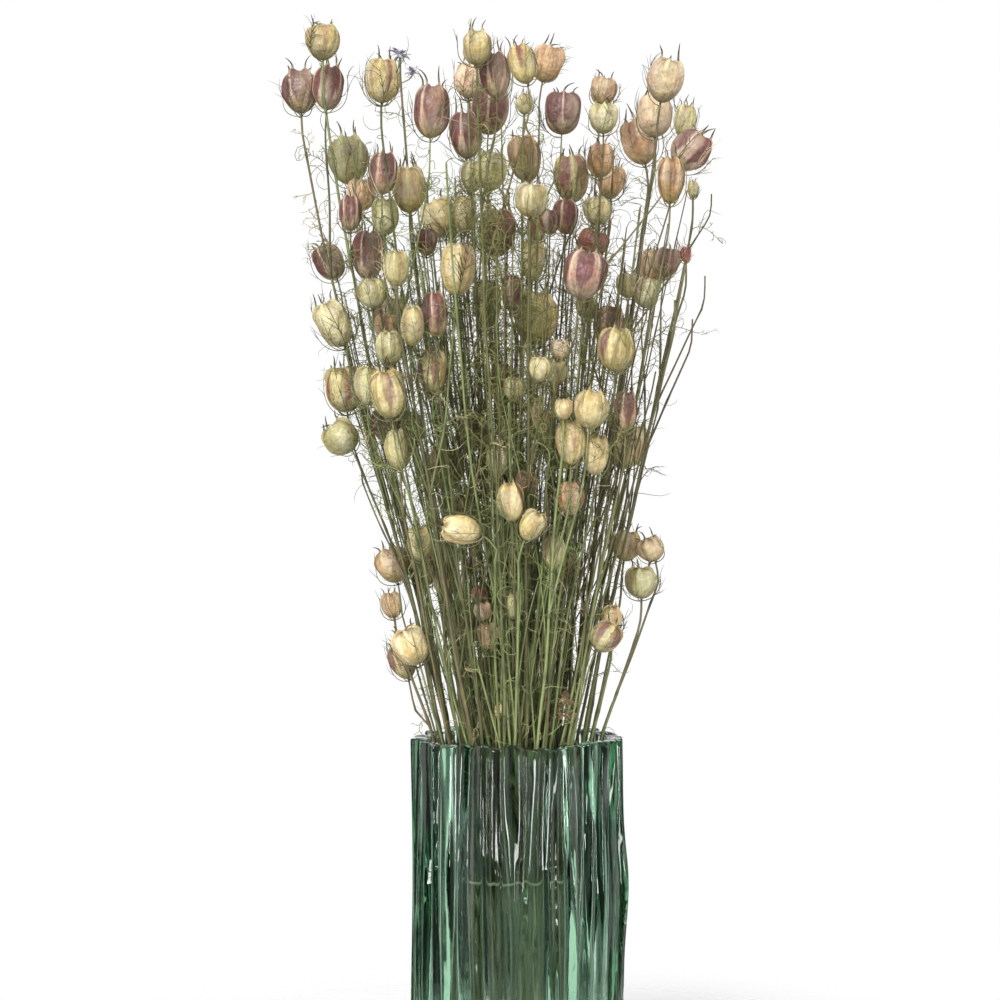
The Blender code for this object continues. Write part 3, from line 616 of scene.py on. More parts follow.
# Washes over a strand's own colour, the first two its own tone and the rest painted shade and painted
# light: how strong, in a number or by the strand's own value of that name, the tone, and the steps over
# which each sets in, by the place across, the height, how far aside of the middle it is, or its share of the
# bunch's half width
washes = (
    ("browner", (0.44, 0.38, 0.29), (("across", 15 * mm, 60 * mm),)),
    ("drier", (0.53, 0.48, 0.25), (("height", 320 * mm, 410 * mm), ("aside", 62 * mm, 30 * mm))),
    # painted shade: strands darker in the core of the bunch, where the outer stems and pods shade them
    (0.42, (0.20, 0.18, 0.10), (("share", 0.8, 0.4), ("height", 290 * mm, 360 * mm),
                                ("height", 430 * mm, 500 * mm, 1.0, 0.2))),
    # inside the vase: painted shade on the stems above the tie, and painted light on them below it
    (0.5, (0.14, 0.15, 0.09), (("height", 204 * mm, 190 * mm), ("height", 122 * mm, 130 * mm))),
    (0.5, (0.66, 0.65, 0.57), (("height", 122 * mm, 114 * mm),)),
)
bunchToneAndShade = {
    "middle": 12 * mm,
    "halfWidth": (200 * mm, 450 * mm, 35 * mm, 95 * mm),      # between two heights, at each of them
}


def makeStrandSkin(kind):
    look = strands[kind]
    skin = Skin(kind + " skin")
    _, seed, knot = skin.split(skin.attribute("place"))
    streaks = skin.noise(skin.attribute("grain"), 3.5, 4.0, 0.6)
    patches = skin.noise(skin.objectPlace(), 45.0, 3.0)
    age = skin.plus(skin.times(seed, 0.75), skin.times(patches, 0.5))
    skin.colour = skin.mix(skin.ramp(age, 0.35, 0.85), look["young"], look["old"])
    skin.lay(skin.ramp(age, 0.84, 1.02), look["dry"])
    across, _, height = skin.split(skin.objectPlace())
    where = {
        "across": across,
        "height": height,
        "aside": skin.calc("ABSOLUTE", skin.calc("SUBTRACT", across, bunchToneAndShade["middle"])),
        "share": skin.calc("DIVIDE", skin.fromAxis(), skin.ramp(height, *bunchToneAndShade["halfWidth"])),
    }
    for strength, tone, steps in washes:
        share = look.get(strength, strength)
        for measure, *step in steps:
            share = skin.times(skin.ramp(where[measure], *step), share)
        skin.lay(share, tone)
    skin.vary(0.5, 1.0, skin.ramp(streaks, 0.28, 0.72, 0.72, 1.22))
    skin.lay(skin.times(knot, 0.55), tuple(c * 0.6 for c in look["old"]))
    return skin.finish(Roughness=look["rough"], Normal=skin.bump(streaks, 0.3 * mm, 0.6))


# The bunch: where each pod hangs and how its stem runs. Rules, numbers and the order of the
# draws are those of the solids, so that each finer piece lies where its solid is
plan = {
    "spread": ((12, 23), (124, 24), (200, 41), (275, 53), (330, 66),      # half width at each height, in mm
               (385, 84), (440, 96), (495, 107), (560, 113), (640, 118)),
    "crowdFrom": 0.8,
    "crowdAtMouth": 1.12,
    "crowdEases": 5.0 / (40 * mm),
    "viewDistance": 1200 * mm,
    "eyeHeight": 330 * mm,
    "rim": 1.15,
    "depths": ((-1.0, -0.8), (-0.95, 0.8)),     # of heads below and above the next height
    "denseBelow": 430 * mm,
    "endDepths": (-0.4, 0.2),
    "farCount": 16,
    "farHeights": (255 * mm, 475 * mm),
    "farDiameters": (13 * mm, 21 * mm),
    "farReach": (0.85, 1.12),
    "farLengths": (2.2, 2.8),                   # in radii
    "shootCount": 16,
    "shootHeights": (300 * mm, 450 * mm),
    "shootRadius": 0.7 * mm,
    "shootTip": 6 * mm,
    "nod": 12,
    "neck": 12 * mm,
    "headsASpray": 3,
    "joinReach": 0.34,
    "forkDrops": (46 * mm, 100 * mm),
    "lowestFork": 208 * mm,
    "kinHeight": 30 * mm,                       # above their fork, stems of one spray part
    "stemRadii": (1.35 * mm, 0.85 * mm),
    "levelStep": 8 * mm,
    "footHeight": vase["floor"] + 0.5 * mm,
    "gap": 1.7 * mm,
    "wallGap": 2.2 * mm,
    "rounds": 240,
    "neighbourReach": 8 * mm,
}
tones = ("straw", "plum", "striped", "green", "tan")
spreadHeights, spreadWidths = np.array(plan["spread"]).T * mm

# Heads on the near side: across, height, diameter, length in mm, lean to the right in degrees, tone
headsSeen = (
    (-107, 582, 19, 20, 0, "straw"), (-119, 555, 20, 25, -4, "plum"), (-104, 557, 17, 25, 5, "plum"),
    (-75, 561, 19, 25, 2, "striped"), (-48, 544, 20, 30, 3, "plum"), (-23, 579, 17, 20, 0, "straw"),
    (-27, 561, 15, 20, 0, "blush"), (-13, 564, 17, 26, -4, "plum"), (-15, 545, 21, 28, 4, "plum"),
    (-28, 531, 17, 27, -3, "plum"), (-92, 517, 22, 28, -5, "green"), (-85, 498, 16, 18, 0, "tan"),
    (-74, 510, 16, 24, 4, "plum"), (-60, 501, 19, 26, -2, "straw"), (-15, 511, 18, 22, 6, "green"),
    (-42, 485, 20, 22, -25, "straw"), (-26, 486, 13, 22, 2, "straw"), (2, 570, 15, 23, -14, "striped"),
    (17, 570, 18, 21, 16, "tan"), (4, 548, 9, 12, 5, "green"), (25, 543, 20, 24, 3, "plum"),
    (48, 555, 15, 16, 10, "tan"), (47, 540, 16, 17, 0, "green"), (82, 561, 20, 25, 14, "blush"),
    (76, 542, 20, 25, 0, "blush"), (68, 527, 20, 26, -14, "tan"), (92, 539, 12, 18, 10, "green"),
    (95, 522, 21, 24, 40, "plum"), (84, 506, 15, 26, 2, "tan"), (97, 501, 6, 10, 0, "green"),
    (5, 518, 19, 26, -8, "tan"), (30, 507, 20, 27, -5, "striped"), (46, 517, 15, 19, 0, "tan"),
    (52, 505, 15, 19, 10, "tan"), (44, 489, 15, 16, 0, "green"), (7, 495, 18, 19, 4, "green"),
    (-9, 477, 20, 27, 0, "plum"), (-103, 461, 17, 21, -25, "plum"), (-83, 465, 19, 28, 2, "plum"),
    (-64, 457, 14, 20, 0, "green"), (-34, 457, 19, 30, 4, "straw"), (-80, 444, 17, 17, 0, "green"),
    (-47, 432, 14, 26, -3, "plum"), (-59, 426, 13, 23, 0, "straw"), (-101, 427, 19, 27, -25, "green"),
    (-74, 413, 15, 20, 0, "green"), (-97, 391, 21, 26, -8, "striped"), (-82, 393, 16, 22, 3, "green"),
    (-62, 388, 20, 27, -8, "striped"), (-48, 402, 17, 25, 2, "striped"), (-92, 488, 13, 20, 0, "plum"),
    (-73, 486, 15, 21, 0, "green"), (9, 462, 14, 24, 4, "striped"), (36, 454, 25, 27, 12, "plum"),
    (41, 471, 18, 16, 20, "rose"), (39, 436, 13, 13, 0, "green"), (10, 430, 25, 30, 0, "straw"),
    (-15, 439, 16, 27, 0, "green"), (76, 458, 18, 21, 12, "tan"), (63, 448, 14, 14, 0, "green"),
    (71, 444, 14, 17, 10, "green"), (54, 413, 20, 25, 4, "striped"), (42, 380, 19, 22, 8, "straw"),
    (57, 379, 12, 23, 4, "plum"), (26, 380, 10, 12, 0, "straw"), (29, 362, 16, 26, 0, "striped"),
    (42, 355, 14, 23, 5, "straw"), (12, 402, 12, 14, 0, "green"), (93, 465, 6, 9, 0, "rose"),
    (-94, 364, 20, 19, -40, "green"), (-68, 358, 15, 23, -5, "green"), (-33, 314, 16, 22, -78, "straw"),
    (-53, 306, 15, 20, -6, "green"), (-64, 294, 20, 20, -15, "tan"), (-4, 329, 15, 22, -4, "striped"),
    (4, 339, 12, 15, 12, "rose"), (6, 316, 14, 18, 28, "straw"), (29, 331, 15, 19, 0, "tan"),
    (20, 301, 13, 19, 0, "green"), (70, 303, 15, 14, -20, "blush"), (71, 285, 18, 18, 0, "green"),
    (-67, 272, 12, 15, -10, "tan"), (-50, 250, 20, 22, -25, "straw"), (-62, 240, 15, 20, -18, "striped"),
    (38, 255, 17, 18, 35, "striped"), (52, 264, 12, 18, 0, "straw"), (-4, 272, 13, 16, 0, "green"),
    (-64, 580, 7, 11, 0, "wilted"),
)

# Cut or broken ends that carry no pod: across and height in mm
endsSeen = ((85, 441), (104, 457), (106, 500), (96, 432), (-96, 415), (79, 402))


class Head:  # one pod, and the stem under it down to the fork or to the stem's cut end
    def __init__(self, centre, axis, radius, length, tone):
        self.centre, self.axis, self.radius, self.length, self.tone = centre, axis, radius, length, tone
        self.spray, self.fork, self.main, self.route = -1, 0.0, True, []

    @property
    def bare(self):
        return self.radius <= plan["shootRadius"]

    @property
    def base(self):
        return self.centre - self.axis * self.length / 2

    @property
    def neck(self):
        return self.base - (self.axis + up * 0.6).normalized() * plan["neck"]


def spreadAt(height):
    return float(np.interp(height, spreadHeights, spreadWidths))


def crowded(share, height):
    if share <= plan["crowdFrom"]:
        return share
    room = plan["crowdAtMouth"] - plan["crowdFrom"]
    room += max(0.0, height - vase["height"]) * plan["crowdEases"]
    return plan["crowdFrom"] + room * math.tanh((share - plan["crowdFrom"]) / room)


def onStreamline(cell, height):
    share = cell.length
    if share < 1e-9:
        return Vector((0, 0))
    return cell / share * crowded(share, height) * spreadAt(height)


def cellOf(point):  # where a place lies across the bunch, in half widths
    return point.xy / spreadAt(point.z)


def compass(bearing):
    return Vector((math.cos(bearing), math.sin(bearing)))


def axisOf(lean, nod):
    sideways = Matrix.Rotation(math.radians(lean), 3, "Y")
    forwards = Matrix.Rotation(math.radians(nod), 3, "X")
    return (sideways @ forwards @ up).normalized()


def seenFrom(across, y, height):  # the place that the camera sees there, and how much nearer it is
    nearer = 1 + y / plan["viewDistance"]
    return Vector((across * nearer, y, plan["eyeHeight"] + (height - plan["eyeHeight"]) * nearer)), nearer


def seenHead(row, draw):
    across, height, diameter, length, lean, tone = row
    height *= mm
    spread = spreadAt(height)
    rim = math.sqrt(max(0.02, plan["rim"]**2 - (across * mm / spread)**2))
    depth = draw.uniform(*plan["depths"][height >= plan["denseBelow"]])
    centre, nearer = seenFrom(across * mm, depth * rim * spread, height)
    nod = draw.uniform(-plan["nod"], plan["nod"])
    return Head(centre, axisOf(lean, nod), diameter / 2 * mm * nearer, length * mm * nearer, tone)


def bareEnd(across, y, height):
    return Head(Vector((across, y, height)), up.copy(), plan["shootRadius"], plan["shootTip"], "green")


def shoot(draw):
    height = draw.uniform(*plan["shootHeights"])
    bearing = draw.uniform(0, math.tau)
    reach = spreadAt(height) * math.sqrt(draw.uniform(0.02, 0.95))
    return bareEnd(math.cos(bearing) * reach, math.sin(bearing) * reach, height)


def farHead(index, draw):
    height = draw.uniform(*plan["farHeights"])
    bearing = math.pi * (index + 0.5) / plan["farCount"]
    reach = spreadAt(height) * draw.uniform(*plan["farReach"])
    centre = Vector((math.cos(bearing) * reach, math.sin(bearing) * reach, height))
    radius = draw.uniform(*plan["farDiameters"]) / 2
    axis = axisOf(math.degrees(math.cos(bearing)) * 0.2, -draw.uniform(0, plan["nod"]))
    return Head(centre, axis, radius, radius * draw.uniform(*plan["farLengths"]), draw.choice(tones))


def planHeads():
    draw = random.Random(7)
    heads = [seenHead(row, draw) for row in headsSeen]
    heads += [farHead(index, draw) for index in range(plan["farCount"])]
    for x, z in endsSeen:
        heads.append(bareEnd(x * mm, draw.uniform(*plan["endDepths"]) * spreadAt(z * mm), z * mm))
    heads += [shoot(draw) for _ in range(plan["shootCount"])]
    heads.sort(key=lambda head: -head.base.z)
    return heads


def gatherSprays(heads):  # each head joins the nearest taller stem with room for it, or has its own
    draw = random.Random(11)
    sprays = []
    for head in heads:
        cell = cellOf(head.neck)
        fork = head.neck.z - draw.uniform(*plan["forkDrops"])
        near = [
            ((cell - cellOf(taken[0].neck)).length, number)
            for number, taken in enumerate(sprays)
            if len(taken) < plan["headsASpray"] + head.bare
        ]
        distance, number = min(near, default=(9, -1))
        if distance < plan["joinReach"] and fork > plan["lowestFork"]:
            head.spray, head.fork, head.main = number, fork, False
            sprays[number].append(head)
        else:
            head.spray = len(sprays)
            sprays.append([head])
    return sprays


def discRadius(head, height):  # half the pod's width at this height, a little full
    if head.bare:
        return head.radius
    rise = height - head.centre.z
    lean = math.sqrt(max(0.0, 1 - head.axis.z**2))
    half = math.hypot(head.length / 2 * head.axis.z, head.radius * lean) + plan["levelStep"] / 4
    wide = head.radius + (head.length / 2 - head.radius) * lean**2
    if abs(rise) < half:
        return wide * math.sqrt(1 - (rise / half) ** 2)
    return 0.4 * head.radius if 0 < rise < half + head.length * 0.2 else 0.0


class Bunch:  # stems and pods as discs on level planes, moved apart until none touch
    def __init__(self, heads, sprays):
        self.heads = heads
        self.mains = [heads.index(sprays[head.spray][0]) for head in heads]
        tops = [head.centre.z + head.length * 0.75 for head in heads]
        count = int((max(tops) - plan["footHeight"]) / plan["levelStep"]) + 2
        self.heights = plan["footHeight"] + plan["levelStep"] * np.arange(count)
        shape = (count, len(heads))
        self.place, self.radius = np.zeros((*shape, 2)), np.zeros(shape)
        self.isStem, self.isPod = np.zeros((2, *shape), bool)
        for index, head in enumerate(heads):
            self.setStrand(index, head, tops[index])
        self.free = self.mayTouch()
        inVase = self.heights < vase["height"] + plan["levelStep"]
        self.room = np.where(inVase, vase["bore"] - plan["wallGap"], 1.0)
        byTie = np.abs(self.heights - tie["height"]) < plan["levelStep"]
        self.room[byTie] = tie["radius"] - tie["cord"] - plan["wallGap"]

    def setStrand(self, index, head, top):
        ownCell, mainCell = cellOf(head.neck), cellOf(self.heads[self.mains[index]].neck)
        start = plan["footHeight"] if head.main else head.fork
        for level, height in enumerate(self.heights):
            if start <= height < head.neck.z:
                share = 1.0 if head.main else (height - start) / (head.neck.z - start)
                share = share * share * (3 - 2 * share)
                self.place[level, index] = onStreamline(mainCell.lerp(ownCell, share), height)
                self.radius[level, index] = plan["stemRadii"][0]
                self.isStem[level, index] = True
            elif head.neck.z <= height < top:
                along = (height - head.centre.z) / max(head.axis.z, 0.35)
                along = min(max(along, -head.length / 2), head.length / 2)
                self.place[level, index] = (head.centre + head.axis * along).xy
                self.radius[level, index] = max(discRadius(head, height), plan["stemRadii"][1])
                self.isPod[level, index] = True

    def mayTouch(self):
        spray = np.array([head.spray for head in self.heads])
        fork = np.array([head.fork for head in self.heads])
        kin = spray[:, None] == spray[None, :]
        later = np.maximum(fork[:, None], fork[None, :])
        nearFork = self.heights[:, None, None] < later + plan["kinHeight"]
        active = self.isStem | self.isPod
        return ~(kin[None] & nearFork) & active[:, :, None] & active[:, None, :]

    def findNeighbours(self):
        away = self.place[:, :, None, :] - self.place[:, None, :, :]
        reach = self.radius[:, :, None] + self.radius[:, None, :]
        reach = reach + plan["gap"] + plan["neighbourReach"]
        return np.nonzero(np.triu(self.free & ((away**2).sum(-1) < reach**2), 1))

    def pushes(self, neighbours):
        level, one, other = neighbours
        away = self.place[level, one] - self.place[level, other]
        distance = np.sqrt((away**2).sum(-1)) + 1e-9
        need = self.radius[level, one] + self.radius[level, other] + plan["gap"]
        lack = np.maximum(0.0, need - distance)
        step = away / distance[:, None] * lack[:, None] * 0.5
        push = np.zeros_like(self.place)
        np.add.at(push, (level, one), step)
        np.add.at(push, (level, other), -step)
        return push

    def settle(self):
        for turn in range(plan["rounds"]):
            if turn % 20 == 0:
                neighbours = self.findNeighbours()
            push = self.pushes(neighbours)
            self.moveStems(push)
            self.movePods(push)
            self.holdEnds()

    def moveStems(self, push):
        self.place += np.where(self.isStem[..., None], push, 0.0)
        bend = np.zeros_like(self.place)
        inner = self.isStem[1:-1] & self.isStem[:-2] & (self.isStem[2:] | self.isPod[2:])
        middle = (self.place[:-2] + self.place[2:]) / 2 - self.place[1:-1]
        bend[1:-1] = np.where(inner[..., None], middle, 0.0)
        self.place += 0.5 * bend
        reach = np.sqrt((self.place**2).sum(-1))
        self.place *= np.minimum(1.0, self.room[:, None] / np.maximum(reach, 1e-9))[..., None]

    def movePods(self, push):
        held = np.where(self.isPod[..., None], push, 0.0)
        hits = np.maximum(1, (np.abs(held).sum(-1) > 0).sum(0))
        step = held.sum(0) / hits[:, None] * np.array((0.35, 0.9))
        for index, head in enumerate(self.heads):
            head.centre = head.centre + Vector((*step[index], 0))
        self.place += np.where(self.isPod[..., None], step[None], 0.0)

    def holdEnds(self):
        for index, head in enumerate(self.heads):
            levels = np.flatnonzero(self.isStem[:, index])
            if len(levels) > 1:
                last = levels[-1]
                self.place[last, index] = (Vector(self.place[last, index]) + head.neck.xy) / 2
            if not head.main and len(levels):
                self.place[levels[0], index] = self.place[levels[0], self.mains[index]]

    def writeRoutes(self):
        for index, head in enumerate(self.heads):
            levels = np.flatnonzero(self.isStem[:, index])
            head.route = [Vector((*self.place[level, index], self.heights[level])) for level in levels]
            while head.route and head.route[-1].z > head.neck.z - plan["levelStep"] / 2:
                head.route.pop()
            head.route += [head.neck, head.base]


def arrange():
    heads = planHeads()
    sprays = gatherSprays(heads)
    bunch = Bunch(heads, sprays)
    bunch.settle()
    bunch.writeRoutes()
    return sprays


# Pods
pod = {
    "turn": (-0.42, 0.42),      # from where the solid's lobes are, in radians
    "around": 45,
    "rings": 17,
    "lobes": 5,
    "widest": (0.49, 0.57),
    "fullness": (1.9, 2.2, 3.2),    # below the widest place, and from least to most above it
    "bulge": 0.05,              # of a plump pod's panes
    "hollow": 0.10,             # of a shrunken pod's panes
    "shrunken": ("tan", "rose"),
    "ribRise": 0.07,
    "ribWidth": 0.26,
    "crown": 0.17,
    "crownLift": 0.04,
    "lobeScatter": 0.09,
    "dent": 0.12,
    "fold": 0.026,
    "dimple": 0.09,
    "plumFrom": 0.45,           # the least seed of a plum pod, so that each has wide bands
    "hornSides": 4,
    "hornSteps": 7,
    "hornBase": 0.060,
    "hornTip": 0.015,
    "hornLengths": (0.3, 1.5),
    "hornFlares": (-0.2, 0.45),
}


class Body:  # a pod's own frame: shares of its length and radius become places
    def __init__(self, head, turn=0.0):
        across = head.axis.cross(Vector((0, 1, 0))).normalized()
        over = head.axis.cross(across).normalized()
        self.turn, self.radius, self.length = turn, head.radius, head.length
        self.across, self.over, self.axis, self.base = routeArray((across, over, head.axis, head.base))

    def at(self, bearing, reach, height):
        bearing, reach, height = np.broadcast_arrays(bearing + self.turn, reach, height)
        out = np.cos(bearing)[..., None] * self.across + np.sin(bearing)[..., None] * self.over
        along, out = self.axis * (height * self.length)[..., None], out * (reach * self.radius)[..., None]
        return self.base + along + out


def easeIn(share):
    share = np.clip(share, 0, 1)
    return share * share * (3 - 2 * share)


def podWidth(height, draw):
    widest, high = draw.uniform(*pod["widest"]), draw.uniform(*pod["fullness"][1:])
    below = 1 - (np.maximum(0, widest - height) / widest) ** pod["fullness"][0]
    above = 1 - (np.maximum(0, height - widest) / (1 - widest)) ** high
    return np.sqrt(np.maximum(0.0, np.minimum(below, above)))


def podShape(bearing, height, shrunk, draw):  # shares of the radius, the crown's lift, how far from a rib
    turn = bearing / math.tau * pod["lobes"]
    pane = np.floor(turn).astype(int) % pod["lobes"]
    fromRib = np.abs(turn - np.round(turn)) * 2
    ridge = np.exp(-((fromRib / pod["ribWidth"]) ** 2))
    crown = easeIn((height - 0.6) / 0.4)
    shape = 0.98 + pod["bulge"] * (1 - shrunk) * fromRib * (2 - fromRib) - pod["hollow"] * shrunk * fromRib**2
    shape += pod["ribRise"] * (0.4 + shrunk) * ridge * (0.3 + 0.7 * height)
    shape += pod["crown"] * crown * (ridge - 0.35)
    shape += draw.uniform(-1, 0.6, pod["lobes"])[pane] * pod["lobeScatter"] * fromRib**1.5
    for _ in range(3):
        waves, rise = draw.integers(2, 5), draw.uniform(3, 8)
        phase, shift = draw.uniform(*anyPhase, 2)
        shape += pod["dent"] / 3 * np.sin(bearing * waves + phase) * np.sin(height * rise + shift)
    bend = draw.uniform(*anyPhase, 2)
    folds = np.sin(height * 26 + bend[0] + 2.5 * np.sin(bearing * 2 + bend[1])) * fromRib
    shape += pod["fold"] * shrunk**2 * folds
    return shape, pod["crownLift"] * crown * (ridge - 0.3), fromRib


def addPod(heap, head, draw):
    body = Body(head, draw.uniform(*pod["turn"]))
    seed = draw.uniform(pod["plumFrom"] if head.tone == "plum" else 0.0, 1.0)
    shrunk = draw.uniform(0.5, 1) if head.tone in pod["shrunken"] else draw.uniform(0, 0.6)
    around, rings = pod["around"], pod["rings"]
    angle = np.linspace(0, math.pi, rings + 2)[1:-1]
    height = ((1 - np.cos(angle)) / 2)[:, None]
    height, bearing = np.broadcast_arrays(height, bearings(around)[None])
    shape, lift, fromRib = podShape(bearing, height, shrunk, draw)
    reach = podWidth(height, draw) * shape
    sink = pod["dimple"] * np.exp(-((reach / 0.35) ** 2)) * (height > 0.5)
    points = body.at(bearing, reach, height + lift - sink).reshape(-1, 3)
    ends = body.at(np.zeros(2), np.zeros(2), np.array((0.0, 1 - pod["dimple"])))
    place = threes(height.shape, fromRib, height, seed).reshape(-1, 3)
    place = np.concatenate((place, ((0, 0, seed), (0, 1, seed))))
    grain = threes(height.shape, np.cos(bearing), np.sin(bearing), height * 0.35 + seed * 31).reshape(-1, 3)
    grain = np.concatenate((grain, ((0, 0, seed * 31), (0, 0, seed * 31 + 0.35))))
    heap.add(np.concatenate((points, ends)), closedFaces(rings, around), head.tone, place, grain)
    addHorns(heap, body, head.tone, seed, draw)


def addHorns(heap, body, tone, seed, draw):
    many, steps, sides = pod["lobes"], pod["hornSteps"], pod["hornSides"]
    share = np.linspace(0, 1, steps)[None]
    length = draw.uniform(*pod["hornLengths"], (many, 1))
    flare = draw.uniform(*pod["hornFlares"], (many, 1))
    height = 0.90 + 0.30 * length * share - 0.14 * flare * share**2
    reach = 0.62 - 0.14 * np.sin(share * math.pi * 0.8) + flare * share**1.8
    drift = draw.uniform(-0.8, 0.8, (many, 1)) * share**2
    paths = body.at(bearings(many)[:, None] + drift, reach, height)
    taper = pod["hornBase"] * (1 - share) ** 0.8 + pod["hornTip"]
    angles = bearings(sides)
    shape = (many, steps, sides)
    heights = (0.9 + 0.34 * share)[:, :, None]
    grain = threes(shape, np.cos(angles), np.sin(angles), heights)
    points = ringsAlong(paths, taper * body.radius, angles)
    heap.add(points, tubeFaces(*shape), tone, threes(shape, 0.0, heights, seed), grain)


# Bracts: the fine forked threads that cup each pod from below
bract = {
    "count": (1, 8),        # at least the first, and less than the second
    "steps": 11,
    "forks": (4, 32),       # on all of a pod's bracts together
    "forkSteps": 4,
    "radius": 0.33 * mm,
    "forkRadius": 0.20 * mm,
    "drop": 0.07,           # how far below the pod they set out
}


def addBracts(heap, head, draw):
    body = Body(head)
    many = int(draw.integers(*bract["count"]))
    share = np.linspace(0, 1, bract["steps"])[None]
    full = draw.uniform(0.6, 1.2, (many, 1))
    bulge = draw.uniform(1.04, 1.3, (many, 1))
    away = draw.uniform(-0.2, 0.5, (many, 1))
    bearing = math.tau * (np.arange(many)[:, None] + draw.uniform(-0.3, 0.3, (many, 1))) / many
    bearing = bearing + draw.uniform(-0.7, 0.7, (many, 1)) * share**1.5
    height = -bract["drop"] + (full + bract["drop"]) * share**1.7
    belly = 0.5 + bract["drop"]
    reach = bulge * np.sqrt(np.maximum(0.004, 1 - (np.abs(height - 0.5) / belly) ** 2.4))
    reach = np.where(height > 0.5, bulge * (1 - 0.35 * np.maximum(0, height - 0.5) ** 1.5), reach)
    reach = reach + away * np.maximum(0, height - 0.55)
    paths = body.at(bearing, reach, height)
    seeds = draw.uniform(0, 1, many)
    addThreads(heap, paths, bract["radius"], "bract", seeds)
    owner = draw.integers(0, many, draw.integers(*bract["forks"]))
    forks = len(owner)
    step = draw.integers(4, bract["steps"] - 1, forks)
    forward = unit(np.gradient(paths, axis=1))[owner, step]
    out = unit(paths[owner, step] - np.array(head.centre))
    sideways = np.cross(forward, out) * draw.choice((-1, 1), forks)[:, None]
    heading = unit(forward + sideways * draw.uniform(0.35, 0.9, (forks, 1)) + out * 0.15)
    lengths = draw.uniform(0.25, 0.6, forks) * head.length
    turns = draw.uniform(0.3, 2.6, forks)
    twigs = curl(paths[owner, step], heading, lengths, turns, bract["forkSteps"], draw)
    addThreads(heap, twigs, bract["forkRadius"], "bract", seeds[owner])


threadBox = np.array(((-143, -130, 0), (120, 107, 620))) * mm     # no thread strays out of it

# How far the close stems reach to the left and right in the photograph, by height, in mm
closeStems = {
    "heights": (200, 250, 300, 350, 400, 450, 500),
    "left": (-40, -50, -64, -79, -88, -97, -106),
    "right": (35, 45, 54, 62, 72, 84, 96),
}


def reachShare(points):  # 0 in the middle of the bunch, 1 where the close stems end; and the side, 1 or -1
    heights = points[..., 2] / mm
    across = points[..., 0] / (1 + points[..., 1] / plan["viewDistance"]) / mm
    left, right = [np.interp(heights, closeStems["heights"], closeStems[side]) for side in ("left", "right")]
    return np.maximum(across / right, across / left), np.sign(across)


def curl(starts, headings, lengths, turns, steps, draw):  # paths that set off straight and curl on the way
    heading = headings
    axis = unit(draw.normal(size=headings.shape))
    path = [starts]
    for _ in range(steps):
        path.append(path[-1] + heading * (lengths / steps)[:, None])
        axis = unit(axis + 0.3 * draw.normal(size=axis.shape))
        heading = unit(heading + np.cross(axis, heading) * (turns / steps)[:, None])
    return np.clip(np.stack(path, 1), *threadBox)


# Stems
stem = {
    "sides": 5,
    "spacing": 6 * mm,
    "radii": (1.15 * mm, 0.56 * mm),
    "sideRadii": (0.62 * mm, 0.46 * mm),
    "scatter": (0.8, 1.2),
    "knotGap": (26 * mm, 58 * mm),
    "firstKnot": 40 * mm,        # at most this far from the foot
    "lastKnot": 12 * mm,         # and this far from the head
    "knotSwell": 0.28,
    "waver": 0.7 * mm,
    "waves": (24 * mm, 9 * mm, 21 * mm),      # long and short ones of a stem, and those of a thin stem
}


def smoothRoute(points, spacing):  # corners cut twice, then spaced evenly
    path = routeArray(points)
    for _ in range(2):
        early = path[:-1] * 0.75 + path[1:] * 0.25
        late = path[:-1] * 0.25 + path[1:] * 0.75
        path = np.concatenate((path[:1], np.stack((early, late), 1).reshape(-1, 3), path[-1:]))
    run = np.concatenate(((0.0,), np.linalg.norm(np.diff(path, axis=0), axis=1).cumsum()))
    count = max(4, int(run[-1] / spacing) + 1)
    spots = np.linspace(0, run[-1], count)
    return sample(path, run, spots), spots


def wavered(path, waves):  # moved sideways by the waves, which fade out towards both ends
    fade = np.sin(math.pi * np.linspace(0, 1, len(path)))[:, None]
    return path + waves * fade * stem["waver"] * np.array((1, 1, 0))


def tapered(radii, steps):
    return radii[0] + (radii[1] - radii[0]) * np.linspace(0, 1, steps)


def addStalk(heap, path, radii, sides, seed, knots):  # returns the path and the places of its knots
    addTube(heap, path, radii * (1 + stem["knotSwell"] * knots), sides, seed, knots)
    return path, np.flatnonzero(knots)


def addStem(heap, head, draw):
    path, spots = smoothRoute(head.route, stem["spacing"])
    steps = len(path)
    radii = tapered(stem["radii" if head.main else "sideRadii"], steps) * draw.uniform(*stem["scatter"])
    phase = draw.uniform(*anyPhase, (2, 3))
    spots = spots[:, None]
    waves = np.sin(spots / stem["waves"][0] + phase[0]) + np.sin(spots / stem["waves"][1] + phase[1]) * 0.3
    path = wavered(path, waves)
    knots = np.zeros(steps)
    height = path[0, 2] + draw.uniform(0, stem["firstKnot"])
    while height < path[-1, 2] - stem["lastKnot"]:
        spot = int(np.argmin(np.abs(path[:, 2] - height)))
        if 0 < spot < steps - 1:
            knots[spot] = 1.0
        height += draw.uniform(*stem["knotGap"])
    return addStalk(heap, path, radii, stem["sides"], draw.uniform(0, 1), knots)


